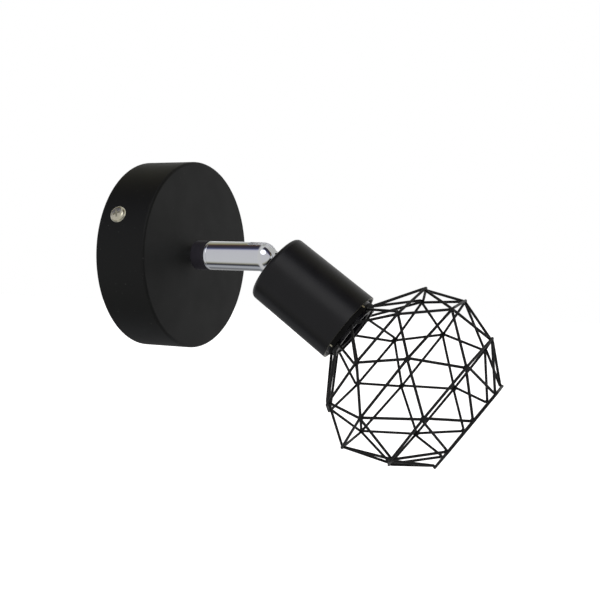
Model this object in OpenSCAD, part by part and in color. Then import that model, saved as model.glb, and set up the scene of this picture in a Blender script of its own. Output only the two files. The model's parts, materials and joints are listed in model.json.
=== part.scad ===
// Mesh wall spotlight: a round wall canopy, a chrome swivel arm and a lamp cup
// with a bent-wire cage. The origin is on the wall at the canopy's centre, the
// arm runs along -Y and +Z is up.

/* [Canopy] */
// Outside diameter of the canopy
canopy_d = 100; // [84:1:140]
// How far the canopy stands off the wall
canopy_depth = 29.5; // [26:0.5:45]
// Sheet thickness of the canopy
canopy_wall = 1.2; // [0.8:0.1:2]
// Radius of the canopy's front edge
canopy_edge_r = 1.5; // [1.3:0.1:6]
// Height of the two side screws off the wall
side_screw_height = 11; // [9:0.5:16]
// Angle of the side screws above the horizontal
side_screw_angle = 26; // [0:1:60]

/* [Wall bracket] */
// Width of the strap that is screwed to the wall
strap_w = 22; // [18:1:30]
// Thickness of the strap
strap_t = 1.5; // [1:0.1:2.5]
// Diameter of the two wall holes
wall_hole_d = 5; // [4:0.5:6]
// Distance between the two wall holes
wall_hole_spacing = 60; // [56:1:70]

/* [Arm] */
// Diameter of the chrome arm
arm_d = 15.2; // [14.6:0.1:20]
// Wall thickness of the hollow arm
arm_wall = 1.6; // [1.2:0.1:2]
// Diameter of the black collar on the canopy
collar_d = 15.7; // [14.6:0.1:24]
// Length of the black collar
collar_l = 7.6; // [4:0.2:12]
// Distance of the knuckle pivot from the wall
pivot_distance = 70; // [66:1:110]
// Turn of the arm from hanging straight down
arm_turn = 14; // [-150:1:150]

/* [Knuckle] */
// Width of the slot in the arm's domed end
slot_w = 5.4; // [4.6:0.1:6]
// Half height of the flat tongue in the slot
tongue_r = 6.5; // [5:0.1:6.8]
// Diameter of the pivot screw's shank
pivot_d = 4; // [3:0.1:4.5]
// Angle of the lamp cup below the arm
head_tilt = 39; // [-80:1:80]

/* [Lamp cup] */
// Outside diameter of the cup at its mouth
cup_mouth_d = 39.4; // [38.8:0.1:50]
// Outside diameter of the cup at its back
cup_back_d = 38.2; // [36:0.1:50]
// Length of the cup
cup_l = 50.5; // [48:0.5:60]
// Thickness of the cup's side wall
cup_wall = 1; // [0.6:0.1:1.3]
// Thickness of the cup's back wall
cup_back_wall = 1.2; // [0.8:0.1:2]
// Radius of the cup's back edge
cup_edge_r = 2.8; // [1.6:0.1:6]

/* [Lampholder] */
// Outside diameter of the holder's threaded skirt
skirt_d = 28; // [26:0.1:29]
// Wall thickness of the skirt
skirt_wall = 2.8; // [1.6:0.1:3.4]
// Inside diameter of the screw shell that takes the lamp cap
shell_d = 14.1; // [13.8:0.1:14.4]
// Length of the screw shell
shell_l = 21.4; // [18:0.2:23]
// Height of the ribbed ring nut
ring_nut_h = 2; // [1.6:0.1:3]
// Number of ribs on the ring nut
ring_nut_ribs = 10; // [6:1:16]

/* [Cage] */
// Diameter of the cage wire
wire_d = 1.3; // [1:0.1:1.8]
// Number of corners on each wire ring
cage_corners = 8; // [6:1:10]
// How far the collar's two arc walls stand out of the cup
collar_wall_h = 2.3; // [1:0.1:2.4]
// Angle that each arc wall spans
collar_wall_span = 90; // [40:1:120]
// Direction of the first arc wall's middle round the cup's axis
collar_wall_turn = 148; // [0:1:180]
// Corner radius of the widest ring
widest_ring_r = 49.5; // [42:0.2:70]
// How far the ring next to the cup lies inside the widest one
neck_ring_inset = 7.9; // [4:0.1:14]
// How far the ring below the widest one lies inside it
lower_ring_inset = 6.6; // [4:0.1:14]
// Corner radius of the ring at the open end
mouth_ring_r = 27.1; // [25:0.1:40]
// Distance of the neck ring from the cup's mouth
neck_ring_reach = 18.6; // [16:0.2:30]
// Distance from the neck ring to the widest ring
widest_ring_step = 18.2; // [14:0.2:30]
// Distance from the widest ring to the lower ring
lower_ring_step = 23; // [18:0.2:36]
// Distance from the lower ring to the mouth ring
mouth_ring_step = 18.6; // [14:0.2:30]
// Turn of the cage about its own axis
cage_turn = 5.9; // [0:0.1:45]

/* [Hidden] */

// Clearances shared by the whole lamp
overrun = 1;
face_gap = 0.1;
thread_fit = 0.03;
running_fit = 0.07;
loose_fit = 0.25;

// Steps of a quarter-round edge on a turned profile
edge_steps = 7;

// Shares that shape pressed edges, nuts and screw heads
least_edge_share = 1 / 3;
lip_share = 1 / 4;
nut_chamfer_share = 1 / 6;
hex_half_angle = 30;
head_chamfer_share = 1 / 8;
head_round_share = 0.6;
recess_reach_share = 0.56;
recess_half_w_share = 0.11;
recess_floor_share = 0.35;

// Colours
canopy_black = "#222423";
cup_black = "#232326";
plastic_black = "#1c1b20";
wire_black = "#1a1a1a";
zinc = "#b9b6a5";
chrome = "#d5d7da";
brass = "#b79a4e";

// Canopy and bracket
canopy_r = canopy_d / 2;
canopy_inner_r = canopy_r - canopy_wall;
canopy_front_inside = canopy_depth - canopy_wall;
side_screw_azimuth = 180 - side_screw_angle;
side_screw_r = 2;
side_screw_l = 8;
side_screw_head_r = 4.3;
side_screw_head_h = 2.5;
ear_w = 12;
ear_gap = 0.3;
ear_h = side_screw_height + ear_w / 2;
ear_reach = sqrt(pow(canopy_inner_r - ear_gap, 2) - pow(ear_w / 2, 2));
cable_hole_r = 5;

// Terminal block and earth screw on the strap
block_l = 16;
block_w = 18;
block_h = 11;
block_start = 8;
block_mid = block_start + block_l / 2;
pole_offset = 5;
pole_height = 4.6;
sleeve_r = 2.9;
sleeve_wall = 1;
sleeve_bore_r = sleeve_r - sleeve_wall;
sleeve_l = 13;
terminal_pitch = 7;
terminal_screw_r = 1.3;
terminal_head_r = 1.9;
terminal_head_h = 1.6;
terminal_slot = 0.8;
terminal_screw_tip = 1.05;
block_screw_r = 1.4;
block_screw_head_r = 2.4;
block_screw_head_h = 1.7;
block_screw_slot = 0.6;
block_screw_seat = pole_height + sleeve_r + face_gap;
earth_place = 15;
earth_boss_r = 3.8;
earth_boss_h = 3;
earth_screw_r = 2;
earth_head_r = 3.6;
earth_head_h = 2.2;
earth_slot_w = 0.9;
earth_slot_depth = 0.75;
earth_washer_t = 0.8;

// Collar and the stem that the arm turns on
collar_front = canopy_depth + collar_l;
collar_rim = 0.3;
spigot_r = 6.4;
stem_r = 4.9;
stem_bore_r = 3.6;
arm_start = collar_front + face_gap;
stem_in_arm = 9.5;
stem_front = arm_start + stem_in_arm;
friction_washer_r = 9;
friction_washer_t = 1;
lock_washer_r = 8.2;
lock_washer_t = 1;
lock_washer_slit = 1.2;
nut_flats = 14;
nut_t = 3.4;
friction_washer_z = canopy_front_inside - face_gap - friction_washer_t;
lock_washer_z = friction_washer_z - lock_washer_t;
arm_nut_z = lock_washer_z - nut_t;
stem_tail = 3.6;
stem_back = arm_nut_z - stem_tail;

// Arm tube and its domed fork
arm_r = arm_d / 2;
arm_bore_r = arm_r - arm_wall;
arm_chamfer = 0.5;
end_band_l = 2.2;
end_band_groove = 0.3;
fork_slot_run_out_share = 1 / 8;
fork_slot_back = tongue_r + fork_slot_run_out_share * pivot_d;
fork_web = 3;
arm_bore_end = pivot_distance - fork_slot_back - fork_web;
lead_hole_r = 2.3;
pivot_r = pivot_d / 2;
pivot_head_r = 3.2;
pivot_head_h = 1.4;
pivot_head_inset = 0.75;
pivot_thread_l = 3;
driver_slot_w = 0.9;
driver_slot_depth = 0.9;

// Tongue
tongue_gap = 0.2;
tongue_t = slot_w - 2 * tongue_gap;
cup_clearance = 0.5;
cup_back = arm_r + cup_clearance;
cup_inside = cup_back + cup_back_wall;
cup_mouth = cup_back + cup_l;
cup_washer_r = 8.5;
cup_washer_t = 1;
cup_nut_z = cup_inside + cup_washer_t;
tongue_lead_r = 1.7;
port_r = 1.3;
port_height = (pivot_r + cup_back) / 2 + tongue_lead_r / 2;

// Lampholder
holder_back = cup_nut_z + nut_t + face_gap;
holder_cap_r = 13;
holder_cap_wall = 1.7;
holder_cap_back_t = 3;
holder_cap_l = 10;
stub_past_cap = 2;
stub_end = holder_back + holder_cap_back_t + stub_past_cap;
skirt_back = holder_back + holder_cap_l + face_gap;
skirt_r = skirt_d / 2;
skirt_bore_r = skirt_r - skirt_wall;
skirt_past_plate = 1.2;
lip_l = 2;
lip_wall = 1.2;
web_recess = 5;
web_t = 4;
web_front = skirt_back + web_recess + web_t;
flange_t = 3;
flange_stand = 0.7;
flange_front = cup_mouth + flange_stand;
collar_plate_t = 1.2;
plate_front = flange_front + collar_plate_t;
skirt_front = plate_front + skirt_past_plate;
shell_r = shell_d / 2;
shell_t = 0.5;
shell_foot_r = 9.8;
shell_foot_t = 0.8;
shell_base_r = 8.3;
shell_base_h = 3.8;
shell_shoulder = 0.7;
rivet_r = 1.4;
rivet_tail = 0.6;
contact_w = 4;
contact_t = 0.4;
contact_half_l = 5.6;
contact_crown = 1.4;
contact_hook = 2.8;
contact_hook_drop = 0.8;
contact_rise = 3.2;
terminal_place = 7;
terminal_x = 4.6;
terminal_y = 7;
terminal_z = 4.4;

// Parts in the cup's mouth
collar_wall_r = cup_mouth_d / 2 - cup_wall - loose_fit;
collar_wall_t = 0.75;
collar_wall_depth = 1.5;
foot_r = collar_wall_r - collar_wall_t - face_gap - wire_d / 2;
collar_plate_r = foot_r;
flange_r = collar_plate_r - loose_fit;
ring_nut_r = foot_r - wire_d / 2 - face_gap;
ring_nut_web = 1;
rib_w = 2.2;
rib_depth = 1;

// Cage
wire_r = wire_d / 2;
wire_sides = 8;
ring_bend_r = 2.2;
zigzag_bend_r = 1.4;
ring_bend_steps = 2;
zigzag_bend_steps = 4;
settle_rounds = 12;
wire_seat_share = 1.02;
wire_seat = wire_d * wire_seat_share;
node_seat_angle = 30;
mouth_seat_angle = 62;
corner_step = 360 / cage_corners;
neck_ring_r = widest_ring_r - neck_ring_inset;
lower_ring_r = widest_ring_r - lower_ring_inset;
neck_z = cup_mouth + neck_ring_reach;
widest_z = neck_z + widest_ring_step;
lower_z = widest_z + lower_ring_step;
mouth_z = lower_z + mouth_ring_step;
foot_z = plate_front + wire_r;

// Leads
lead_r = 0.75;
lead_spread = 0.8;
lead_drop = 3;
lead_elbow_r = 2.1;
lead_jog_r = 1.2;
lead_gap = 0.3;

// Places things measured from the wall along the arm
module wall_frame() {
    rotate([90, 0, 0]) children();
}

// The same, turned with the arm; X is then the knuckle's pivot direction
module arm_frame() {
    rotate([0, -arm_turn, 0]) rotate([90, 0, 0]) children();
}

// Z runs from the pivot along the lamp cup's axis, X along the pivot
module head_frame() {
    translate([0, -pivot_distance, 0])
        rotate([0, -arm_turn, 0]) rotate([90 + head_tilt, 0, 0]) children();
}

module strap_frame() {
    wall_frame() rotate([0, 0, side_screw_azimuth]) children();
}

function arc(x, y, r, from, to) = [
    for (i = [0:edge_steps])
        let (a = from + (to - from) * i / edge_steps) [x + r * cos(a), y + r * sin(a)]
];

// A flat ring from z = 0 up
module ring(outer, inner, t) {
    difference() {
        cylinder(r = outer, h = t, $fn = 72);
        translate([0, 0, -overrun]) cylinder(r = inner, h = t + 2 * overrun, $fn = 72);
    }
}

module hex_nut(flats, bore, t) {
    flat_r = flats / 2;
    point_r = flat_r / cos(hex_half_angle);
    chamfer = t * nut_chamfer_share;
    difference() {
        intersection() {
            cylinder(r = point_r, h = t, $fn = 6);
            rotate_extrude($fn = 72) polygon([
                [0, 0], [flat_r, 0], [point_r, chamfer], [point_r, t - chamfer], [flat_r, t], [0, t]
            ]);
        }
        translate([0, 0, -overrun]) cylinder(r = bore, h = t + 2 * overrun, $fn = 72);
    }
}

// A round screw head with a domed top, its underside at z = 0
module domed_head(r, h) {
    chamfer = h * head_chamfer_share;
    round_r = h * head_round_share;
    rotate_extrude($fn = 72) polygon(concat(
        [[0, 0], [r - chamfer, 0], [r, chamfer]], arc(r - round_r, h - round_r, round_r, 0, 90), [[0, h]]
    ));
}

// A cross recess sunk into the top of a head of height h
module cross_recess(r, h) {
    reach = r * recess_reach_share;
    half_w = r * recess_half_w_share;
    for (turn = [0, 90])
        rotate([0, 0, turn])
            translate([-reach, -half_w, h * recess_floor_share]) cube([2 * reach, 2 * half_w, h]);
}

module driver_slot(r, h, w, depth) {
    translate([-r - overrun, -w / 2, h - depth]) cube([2 * (r + overrun), w, depth + overrun]);
}

// Wall canopy: a drawn steel cover, open to the wall
module canopy_cover() {
    edge_in = max(canopy_edge_r - canopy_wall, canopy_wall * least_edge_share);
    color(canopy_black) wall_frame() difference() {
        rotate_extrude($fn = 144) polygon(concat(
            [[canopy_inner_r, 0], [canopy_r, 0]],
            arc(canopy_r - canopy_edge_r, canopy_depth - canopy_edge_r, canopy_edge_r, 0, 90),
            [[0, canopy_depth], [0, canopy_front_inside]],
            arc(canopy_inner_r - edge_in, canopy_front_inside - edge_in, edge_in, 90, 0)
        ));
        translate([0, 0, canopy_front_inside - overrun])
            cylinder(r = spigot_r + face_gap, h = canopy_wall + 2 * overrun, $fn = 72);
        for (side = [0, 180])
            rotate([0, 0, side_screw_azimuth + side])
                translate([canopy_inner_r - overrun, 0, side_screw_height])
                    rotate([0, 90, 0])
                        cylinder(r = side_screw_r + loose_fit, h = canopy_wall + 2 * overrun, $fn = 48);
    }
}

// Strap with two bent ears that the canopy is screwed to
module wall_bracket() {
    color(zinc) strap_frame() difference() {
        union() {
            intersection() {
                translate([-ear_reach, -strap_w / 2, 0]) cube([2 * ear_reach, strap_w, strap_t]);
                cylinder(r = canopy_inner_r - ear_gap, h = strap_t, $fn = 144);
            }
            for (side = [0, 1])
                mirror([side, 0, 0])
                    translate([ear_reach - strap_t, -ear_w / 2, 0]) cube([strap_t, ear_w, ear_h]);
            translate([-earth_place, 0, 0]) cylinder(r = earth_boss_r, h = strap_t + earth_boss_h, $fn = 48);
        }
        for (side = [-1, 1]) {
            translate([side * wall_hole_spacing / 2, 0, -overrun])
                cylinder(d = wall_hole_d, h = strap_t + 2 * overrun, $fn = 48);
            translate([side * (ear_reach - strap_t / 2), 0, side_screw_height])
                rotate([0, 90, 0])
                    cylinder(r = side_screw_r + thread_fit, h = strap_t + 2 * overrun, center = true, $fn = 48);
        }
        translate([0, 0, -overrun]) cylinder(r = cable_hole_r, h = strap_t + 2 * overrun, $fn = 48);
        translate([-earth_place, 0, -overrun])
            cylinder(r = earth_screw_r + thread_fit, h = strap_t + earth_boss_h + 2 * overrun, $fn = 48);
        translate([block_mid, 0, -overrun])
            cylinder(r = block_screw_r + thread_fit, h = strap_t + 2 * overrun, $fn = 48);
    }
}

// The two cross-head screws in the canopy's side
module canopy_screws() {
    color(zinc) wall_frame()
        for (side = [0, 180])
            rotate([0, 0, side_screw_azimuth + side])
                translate([canopy_r, 0, side_screw_height]) rotate([0, 90, 0]) {
                    difference() {
                        domed_head(side_screw_head_r, side_screw_head_h);
                        cross_recess(side_screw_head_r, side_screw_head_h);
                    }
                    translate([0, 0, -side_screw_l]) cylinder(r = side_screw_r, h = side_screw_l, $fn = 48);
                }
}

// Two-pole block for the house wires
module terminal_block() {
    color("whitesmoke") strap_frame() translate([block_start, 0, strap_t]) difference() {
        translate([0, -block_w / 2, 0]) cube([block_l, block_w, block_h]);
        for (side = [-1, 1]) {
            translate([-overrun, side * pole_offset, pole_height]) rotate([0, 90, 0])
                cylinder(r = sleeve_r + thread_fit, h = block_l + 2 * overrun, $fn = 48);
            for (end = [-1, 1])
                translate([block_l / 2 + end * terminal_pitch / 2, side * pole_offset, pole_height])
                    cylinder(r = terminal_head_r + face_gap, h = block_h, $fn = 48);
        }
        translate([block_l / 2, 0, -overrun])
            cylinder(r = block_screw_r + face_gap, h = block_h + 2 * overrun, $fn = 48);
        translate([block_l / 2, 0, block_screw_seat])
            cylinder(r = block_screw_head_r + face_gap, h = block_h, $fn = 48);
    }
}

module terminal_sleeves() {
    color(brass) strap_frame()
        for (side = [-1, 1])
            translate([block_mid, side * pole_offset, strap_t + pole_height]) difference() {
                rotate([0, 90, 0]) cylinder(r = sleeve_r, h = sleeve_l, center = true, $fn = 48);
                rotate([0, 90, 0]) cylinder(r = sleeve_bore_r, h = sleeve_l + 2 * overrun, center = true, $fn = 48);
                for (end = [-1, 1])
                    translate([end * terminal_pitch / 2, 0, 0])
                        cylinder(r = terminal_screw_r + thread_fit, h = sleeve_r + overrun, $fn = 48);
            }
}

module terminal_screws() {
    color(zinc) strap_frame()
        for (side = [-1, 1], end = [-1, 1])
            translate([block_mid + end * terminal_pitch / 2, side * pole_offset, strap_t + pole_height]) {
                translate([0, 0, terminal_screw_tip])
                    cylinder(r = terminal_screw_r, h = sleeve_r + face_gap - terminal_screw_tip, $fn = 48);
                translate([0, 0, sleeve_r + face_gap]) difference() {
                    cylinder(r = terminal_head_r, h = terminal_head_h, $fn = 48);
                    driver_slot(terminal_head_r, terminal_head_h, terminal_slot, terminal_slot);
                }
            }
}

module block_screw() {
    color(zinc) strap_frame() translate([block_mid, 0, 0]) {
        translate([0, 0, face_gap])
            cylinder(r = block_screw_r, h = strap_t + block_screw_seat - face_gap, $fn = 48);
        translate([0, 0, strap_t + block_screw_seat]) difference() {
            domed_head(block_screw_head_r, block_screw_head_h);
            driver_slot(block_screw_head_r, block_screw_head_h, block_screw_slot, block_screw_slot);
        }
    }
}

module earth_screw() {
    seat = strap_t + earth_boss_h + earth_washer_t;
    color(brass) strap_frame() translate([-earth_place, 0, 0]) {
        translate([0, 0, face_gap]) cylinder(r = earth_screw_r, h = seat - face_gap, $fn = 48);
        translate([0, 0, seat]) difference() {
            domed_head(earth_head_r, earth_head_h);
            driver_slot(earth_head_r, earth_head_h, earth_slot_w, earth_slot_depth);
        }
    }
}

module earth_washer() {
    color(zinc) strap_frame() translate([-earth_place, 0, strap_t + earth_boss_h])
        ring(earth_head_r + face_gap, earth_screw_r + face_gap, earth_washer_t);
}

// Black bush between canopy and arm
module arm_collar() {
    color(plastic_black) wall_frame() difference() {
        rotate_extrude($fn = 96) polygon([
            [0, canopy_front_inside], [spigot_r, canopy_front_inside], [spigot_r, canopy_depth],
            [collar_d / 2, canopy_depth], [collar_d / 2, collar_front - collar_rim],
            [collar_d / 2 - collar_rim, collar_front], [0, collar_front]
        ]);
        translate([0, 0, canopy_front_inside - overrun])
            cylinder(r = stem_r + running_fit, h = canopy_wall + collar_l + 2 * overrun, $fn = 72);
    }
}

// Wires from the terminal block to the foot of the stem
module canopy_leads() {
    level = strap_t + pole_height;
    color("saddlebrown") strap_frame()
        for (side = [-1, 1])
            bent_wire([
                [block_start - lead_gap, side * pole_offset, level],
                [block_start - lead_drop, side * pole_offset, level],
                [0, side * lead_spread, level],
                [0, side * lead_spread, stem_back - lead_gap]
            ], lead_r, lead_elbow_r, zigzag_bend_steps, false, [0, 1, 0]);
}

// Chrome tube with a domed, slotted end
module arm_tube() {
    band = arm_start + end_band_l;
    color(chrome) arm_frame() difference() {
        rotate_extrude($fn = 96) polygon(concat(
            [
                [0, arm_start], [arm_r - arm_chamfer, arm_start], [arm_r, arm_start + arm_chamfer],
                [arm_r, band - end_band_groove], [arm_r - end_band_groove, band],
                [arm_r, band + end_band_groove]
            ],
            arc(0, pivot_distance, arm_r, 0, 90)
        ));
        translate([0, 0, arm_start - overrun])
            cylinder(r = arm_bore_r, h = arm_bore_end - arm_start + overrun, $fn = 72);
        translate([0, 0, arm_bore_end - overrun])
            cylinder(r = lead_hole_r, h = fork_web + 2 * overrun, $fn = 48);
        translate([-slot_w / 2, -arm_r - overrun, pivot_distance - fork_slot_back])
            cube([slot_w, 2 * (arm_r + overrun), fork_slot_back + arm_r + overrun]);
        translate([0, 0, pivot_distance]) rotate([0, 90, 0]) {
            cylinder(r = pivot_r + running_fit, h = arm_r, $fn = 48);
            translate([0, 0, arm_r - pivot_head_inset - pivot_head_h])
                cylinder(r = pivot_head_r + face_gap, h = arm_r, $fn = 48);
            translate([0, 0, -slot_w / 2 - pivot_thread_l - face_gap])
                cylinder(r = pivot_r + thread_fit, h = slot_w / 2 + pivot_thread_l + face_gap, $fn = 48);
        }
    }
}

// Hollow threaded stem that joins the arm to the canopy
module arm_stem() {
    color(zinc) arm_frame() translate([0, 0, stem_back]) ring(stem_r, stem_bore_r, stem_front - stem_back);
}

module arm_bush() {
    color(brass) arm_frame() translate([0, 0, arm_start])
        ring(arm_bore_r - thread_fit, stem_r + thread_fit, stem_in_arm);
}

module arm_nut() {
    color(zinc) arm_frame() translate([0, 0, arm_nut_z]) hex_nut(nut_flats, stem_r + thread_fit, nut_t);
}

module arm_lock_washer() {
    color(zinc) arm_frame() translate([0, 0, lock_washer_z]) difference() {
        ring(lock_washer_r, stem_r + face_gap, lock_washer_t);
        translate([0, -lock_washer_slit / 2, -overrun])
            cube([lock_washer_r + overrun, lock_washer_slit, lock_washer_t + 2 * overrun]);
    }
}

module arm_friction_washer() {
    color("ivory") arm_frame() translate([0, 0, friction_washer_z])
        ring(friction_washer_r, stem_r + face_gap, friction_washer_t);
}

// Screw that the head tilts on, let into one cheek and blind in the other
module pivot_screw() {
    seat = arm_r - pivot_head_inset - pivot_head_h;
    color(chrome) arm_frame() translate([0, 0, pivot_distance]) rotate([0, 90, 0]) {
        translate([0, 0, -slot_w / 2 - pivot_thread_l])
            cylinder(r = pivot_r, h = slot_w / 2 + pivot_thread_l + seat, $fn = 48);
        translate([0, 0, seat]) difference() {
            cylinder(r = pivot_head_r, h = pivot_head_h, $fn = 48);
            driver_slot(pivot_head_r, pivot_head_h, driver_slot_w, driver_slot_depth);
        }
    }
}

// Wires inside the arm
module arm_leads() {
    color("saddlebrown") arm_frame()
        for (side = [-1, 1])
            translate([side * lead_spread, 0, stem_back])
                cylinder(r = lead_r, h = arm_bore_end + fork_web - stem_back, $fn = 32);
}

// Flat tongue in the fork, with the threaded stub that holds cup and lampholder
module knuckle_tongue() {
    color(chrome) head_frame() difference() {
        union() {
            rotate([0, 90, 0]) cylinder(r = tongue_r, h = tongue_t, center = true, $fn = 72);
            translate([-tongue_t / 2, -tongue_r, 0]) cube([tongue_t, 2 * tongue_r, cup_back]);
            translate([0, 0, cup_back]) cylinder(r = stem_r, h = stub_end - cup_back, $fn = 72);
        }
        rotate([0, 90, 0])
            cylinder(r = pivot_r + running_fit, h = tongue_t + 2 * overrun, center = true, $fn = 48);
        translate([0, 0, port_height])
            cylinder(r = tongue_lead_r, h = stub_end - port_height + overrun, $fn = 48);
        translate([0, 0, port_height]) rotate([90, 0, 0])
            cylinder(r = port_r, h = 2 * (tongue_r + overrun), center = true, $fn = 48);
    }
}

function cup_r(z) = cup_back_d / 2 + (cup_mouth_d - cup_back_d) / 2 * (z - cup_back) / cup_l;

// Satin black cup, slightly wider at its mouth
module lamp_cup() {
    edge_in = max(cup_edge_r - cup_wall, cup_wall * least_edge_share);
    edge_z = cup_back + cup_edge_r;
    edge_x = cup_r(edge_z) - cup_edge_r;
    inner_z = cup_inside + edge_in;
    inner_x = cup_r(inner_z) - cup_wall - edge_in;
    lip = cup_wall * lip_share;
    color(cup_black) head_frame() difference() {
        rotate_extrude($fn = 120) polygon(concat(
            [[0, cup_inside], [0, cup_back]],
            arc(edge_x, edge_z, cup_edge_r, -90, 0),
            [
                [cup_mouth_d / 2, cup_mouth - lip], [cup_mouth_d / 2 - lip, cup_mouth],
                [cup_mouth_d / 2 - cup_wall, cup_mouth]
            ],
            arc(inner_x, inner_z, edge_in, 0, -90)
        ));
        translate([0, 0, cup_back - overrun])
            cylinder(r = stem_r + face_gap, h = cup_back_wall + 2 * overrun, $fn = 72);
    }
}

module cup_washer() {
    color(zinc) head_frame() translate([0, 0, cup_inside]) ring(cup_washer_r, stem_r + face_gap, cup_washer_t);
}

module cup_nut() {
    color(zinc) head_frame() translate([0, 0, cup_nut_z]) hex_nut(nut_flats, stem_r + thread_fit, nut_t);
}

// Back half of the lampholder, screwed on the stub
module lampholder_cap() {
    inside = holder_cap_r - holder_cap_wall;
    color(plastic_black) head_frame() translate([0, 0, holder_back]) difference() {
        cylinder(r = holder_cap_r, h = holder_cap_l, $fn = 96);
        translate([0, 0, holder_cap_back_t]) cylinder(r = inside, h = holder_cap_l, $fn = 96);
        translate([0, 0, -overrun])
            cylinder(r = stem_r + thread_fit, h = holder_cap_back_t + 2 * overrun, $fn = 72);
    }
}

// Front half: the skirt with its flange, and the web that carries the contacts
module lampholder_body() {
    lip_r = holder_cap_r - holder_cap_wall - face_gap;
    color(plastic_black) head_frame() difference() {
        rotate_extrude($fn = 96) polygon([
            [0, skirt_back - lip_l], [lip_r, skirt_back - lip_l], [lip_r, skirt_back],
            [skirt_r, skirt_back], [skirt_r, flange_front - flange_t], [flange_r, flange_front - flange_t],
            [flange_r, flange_front], [skirt_r, flange_front], [skirt_r, skirt_front],
            [0, skirt_front]
        ]);
        translate([0, 0, skirt_back - lip_l - overrun])
            cylinder(r = lip_r - lip_wall, h = lip_l + web_recess + overrun, $fn = 96);
        translate([0, 0, web_front]) cylinder(r = skirt_bore_r, h = skirt_front, $fn = 96);
        translate([0, 0, web_front - web_t - overrun])
            cylinder(r = rivet_r + face_gap, h = web_t + 2 * overrun, $fn = 48);
    }
}

// Screw shell that takes the lamp's cap, on a wider base round the contact
module lampholder_shell() {
    color(brass) head_frame() translate([0, 0, web_front]) rotate_extrude($fn = 72) polygon([
        [shell_base_r, 0], [shell_foot_r, 0], [shell_foot_r, shell_foot_t],
        [shell_base_r + shell_t, shell_foot_t], [shell_base_r + shell_t, shell_base_h],
        [shell_r + shell_t, shell_base_h + shell_shoulder], [shell_r + shell_t, shell_l],
        [shell_r, shell_l], [shell_r, shell_base_h + shell_shoulder - shell_t / 2],
        [shell_base_r, shell_base_h - shell_t / 2]
    ]);
}

// Springy centre contact, riveted through the web
module centre_contact() {
    color(brass) head_frame() translate([0, 0, web_front]) {
        translate([0, contact_w / 2, 0]) rotate([90, 0, 0]) linear_extrude(contact_w) polygon([
            [-contact_half_l, 0], [contact_half_l, 0], [contact_half_l, contact_t],
            [contact_t - contact_half_l, contact_t],
            [-contact_crown, contact_rise - contact_t], [contact_crown, contact_rise - contact_t],
            [contact_hook, contact_rise - contact_t - contact_hook_drop],
            [contact_hook + contact_t, contact_rise - contact_hook_drop],
            [contact_crown, contact_rise], [-contact_crown, contact_rise],
            [-contact_half_l, contact_t]
        ]);
        translate([0, 0, -web_t - rivet_tail]) cylinder(r = rivet_r, h = web_t + rivet_tail, $fn = 48);
    }
}

// Two brass clamps behind the web
module lampholder_terminals() {
    clamp_back = web_front - web_t - terminal_z;
    color(brass) head_frame()
        for (side = [-1, 1])
            translate([side * terminal_place, 0, clamp_back]) difference() {
                translate([-terminal_x / 2, -terminal_y / 2, 0]) cube([terminal_x, terminal_y, terminal_z]);
                translate([0, 0, -overrun])
                    cylinder(r = lead_r + face_gap, h = terminal_z / 2 + overrun, $fn = 32);
            }
}

// Wires from the stub to the clamps
module head_leads() {
    clamp_back = web_front - web_t - terminal_z;
    color("saddlebrown") head_frame()
        for (side = [-1, 1])
            bent_wire([
                [side * lead_spread, 0, port_height + port_r],
                [side * lead_spread, 0, stub_end + lead_jog_r],
                [side * terminal_place, 0, clamp_back - lead_drop],
                [side * terminal_place, 0, clamp_back + lead_r]
            ], lead_r, lead_jog_r, zigzag_bend_steps, false, [0, 1, 0]);
}

// Plate that the cage's spokes are welded to; two arc walls centre it in the cup
module cage_collar() {
    color(wire_black) head_frame() {
        translate([0, 0, flange_front]) ring(collar_plate_r, skirt_r + face_gap, collar_plate_t);
        for (side = [0, 180])
            rotate([0, 0, collar_wall_turn - collar_wall_span / 2 + side]) {
                translate([0, 0, flange_front])
                    rotate_extrude(angle = collar_wall_span, $fn = 96)
                        translate([skirt_r + overrun, 0]) square([collar_wall_r - skirt_r - overrun, collar_plate_t]);
                translate([0, 0, cup_mouth - collar_wall_depth])
                    rotate_extrude(angle = collar_wall_span, $fn = 96)
                        translate([collar_wall_r - collar_wall_t, 0])
                            square([collar_wall_t, collar_wall_depth + collar_wall_h]);
            }
    }
}

// Ribbed ring nut that clamps the cage on the lampholder
module ring_nut() {
    color(plastic_black) head_frame() translate([0, 0, plate_front]) {
        ring(ring_nut_r - rib_depth, skirt_r + thread_fit, ring_nut_h);
        ring(ring_nut_r, skirt_r + thread_fit, ring_nut_web);
        intersection() {
            ring(ring_nut_r, skirt_r + face_gap, ring_nut_h);
            for (i = [0:ring_nut_ribs - 1])
                rotate([0, 0, i * 360 / ring_nut_ribs])
                    translate([0, -rib_w / 2, 0]) cube([cup_mouth_d, rib_w, ring_nut_h]);
        }
    }
}

function unit(v) = v / norm(v);
function polar(r, a, z) = [r * cos(a), r * sin(a), z];
function way_in(p, i) = unit(p[i] - p[(i + len(p) - 1) % len(p)]);
function way_out(p, i) = unit(p[(i + 1) % len(p)] - p[i]);
function half_bend(a, b) = acos(min(1, max(-1, a * b))) / 2;

// Corners of a closed wire whose rounded bends pass through the touch points
function pushed_out(touch, p, r) = [
    for (i = [0:len(p) - 1])
        let (a = way_in(p, i), b = way_out(p, i))
            touch[i] + unit(a - b) * r * (1 / cos(half_bend(a, b)) - 1)
];
function corners_for(touch, r) = settled(touch, touch, r, settle_rounds);
function settled(touch, p, r, rounds) =
    rounds == 0 ? p : settled(touch, pushed_out(touch, p, r), r, rounds - 1);

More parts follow.
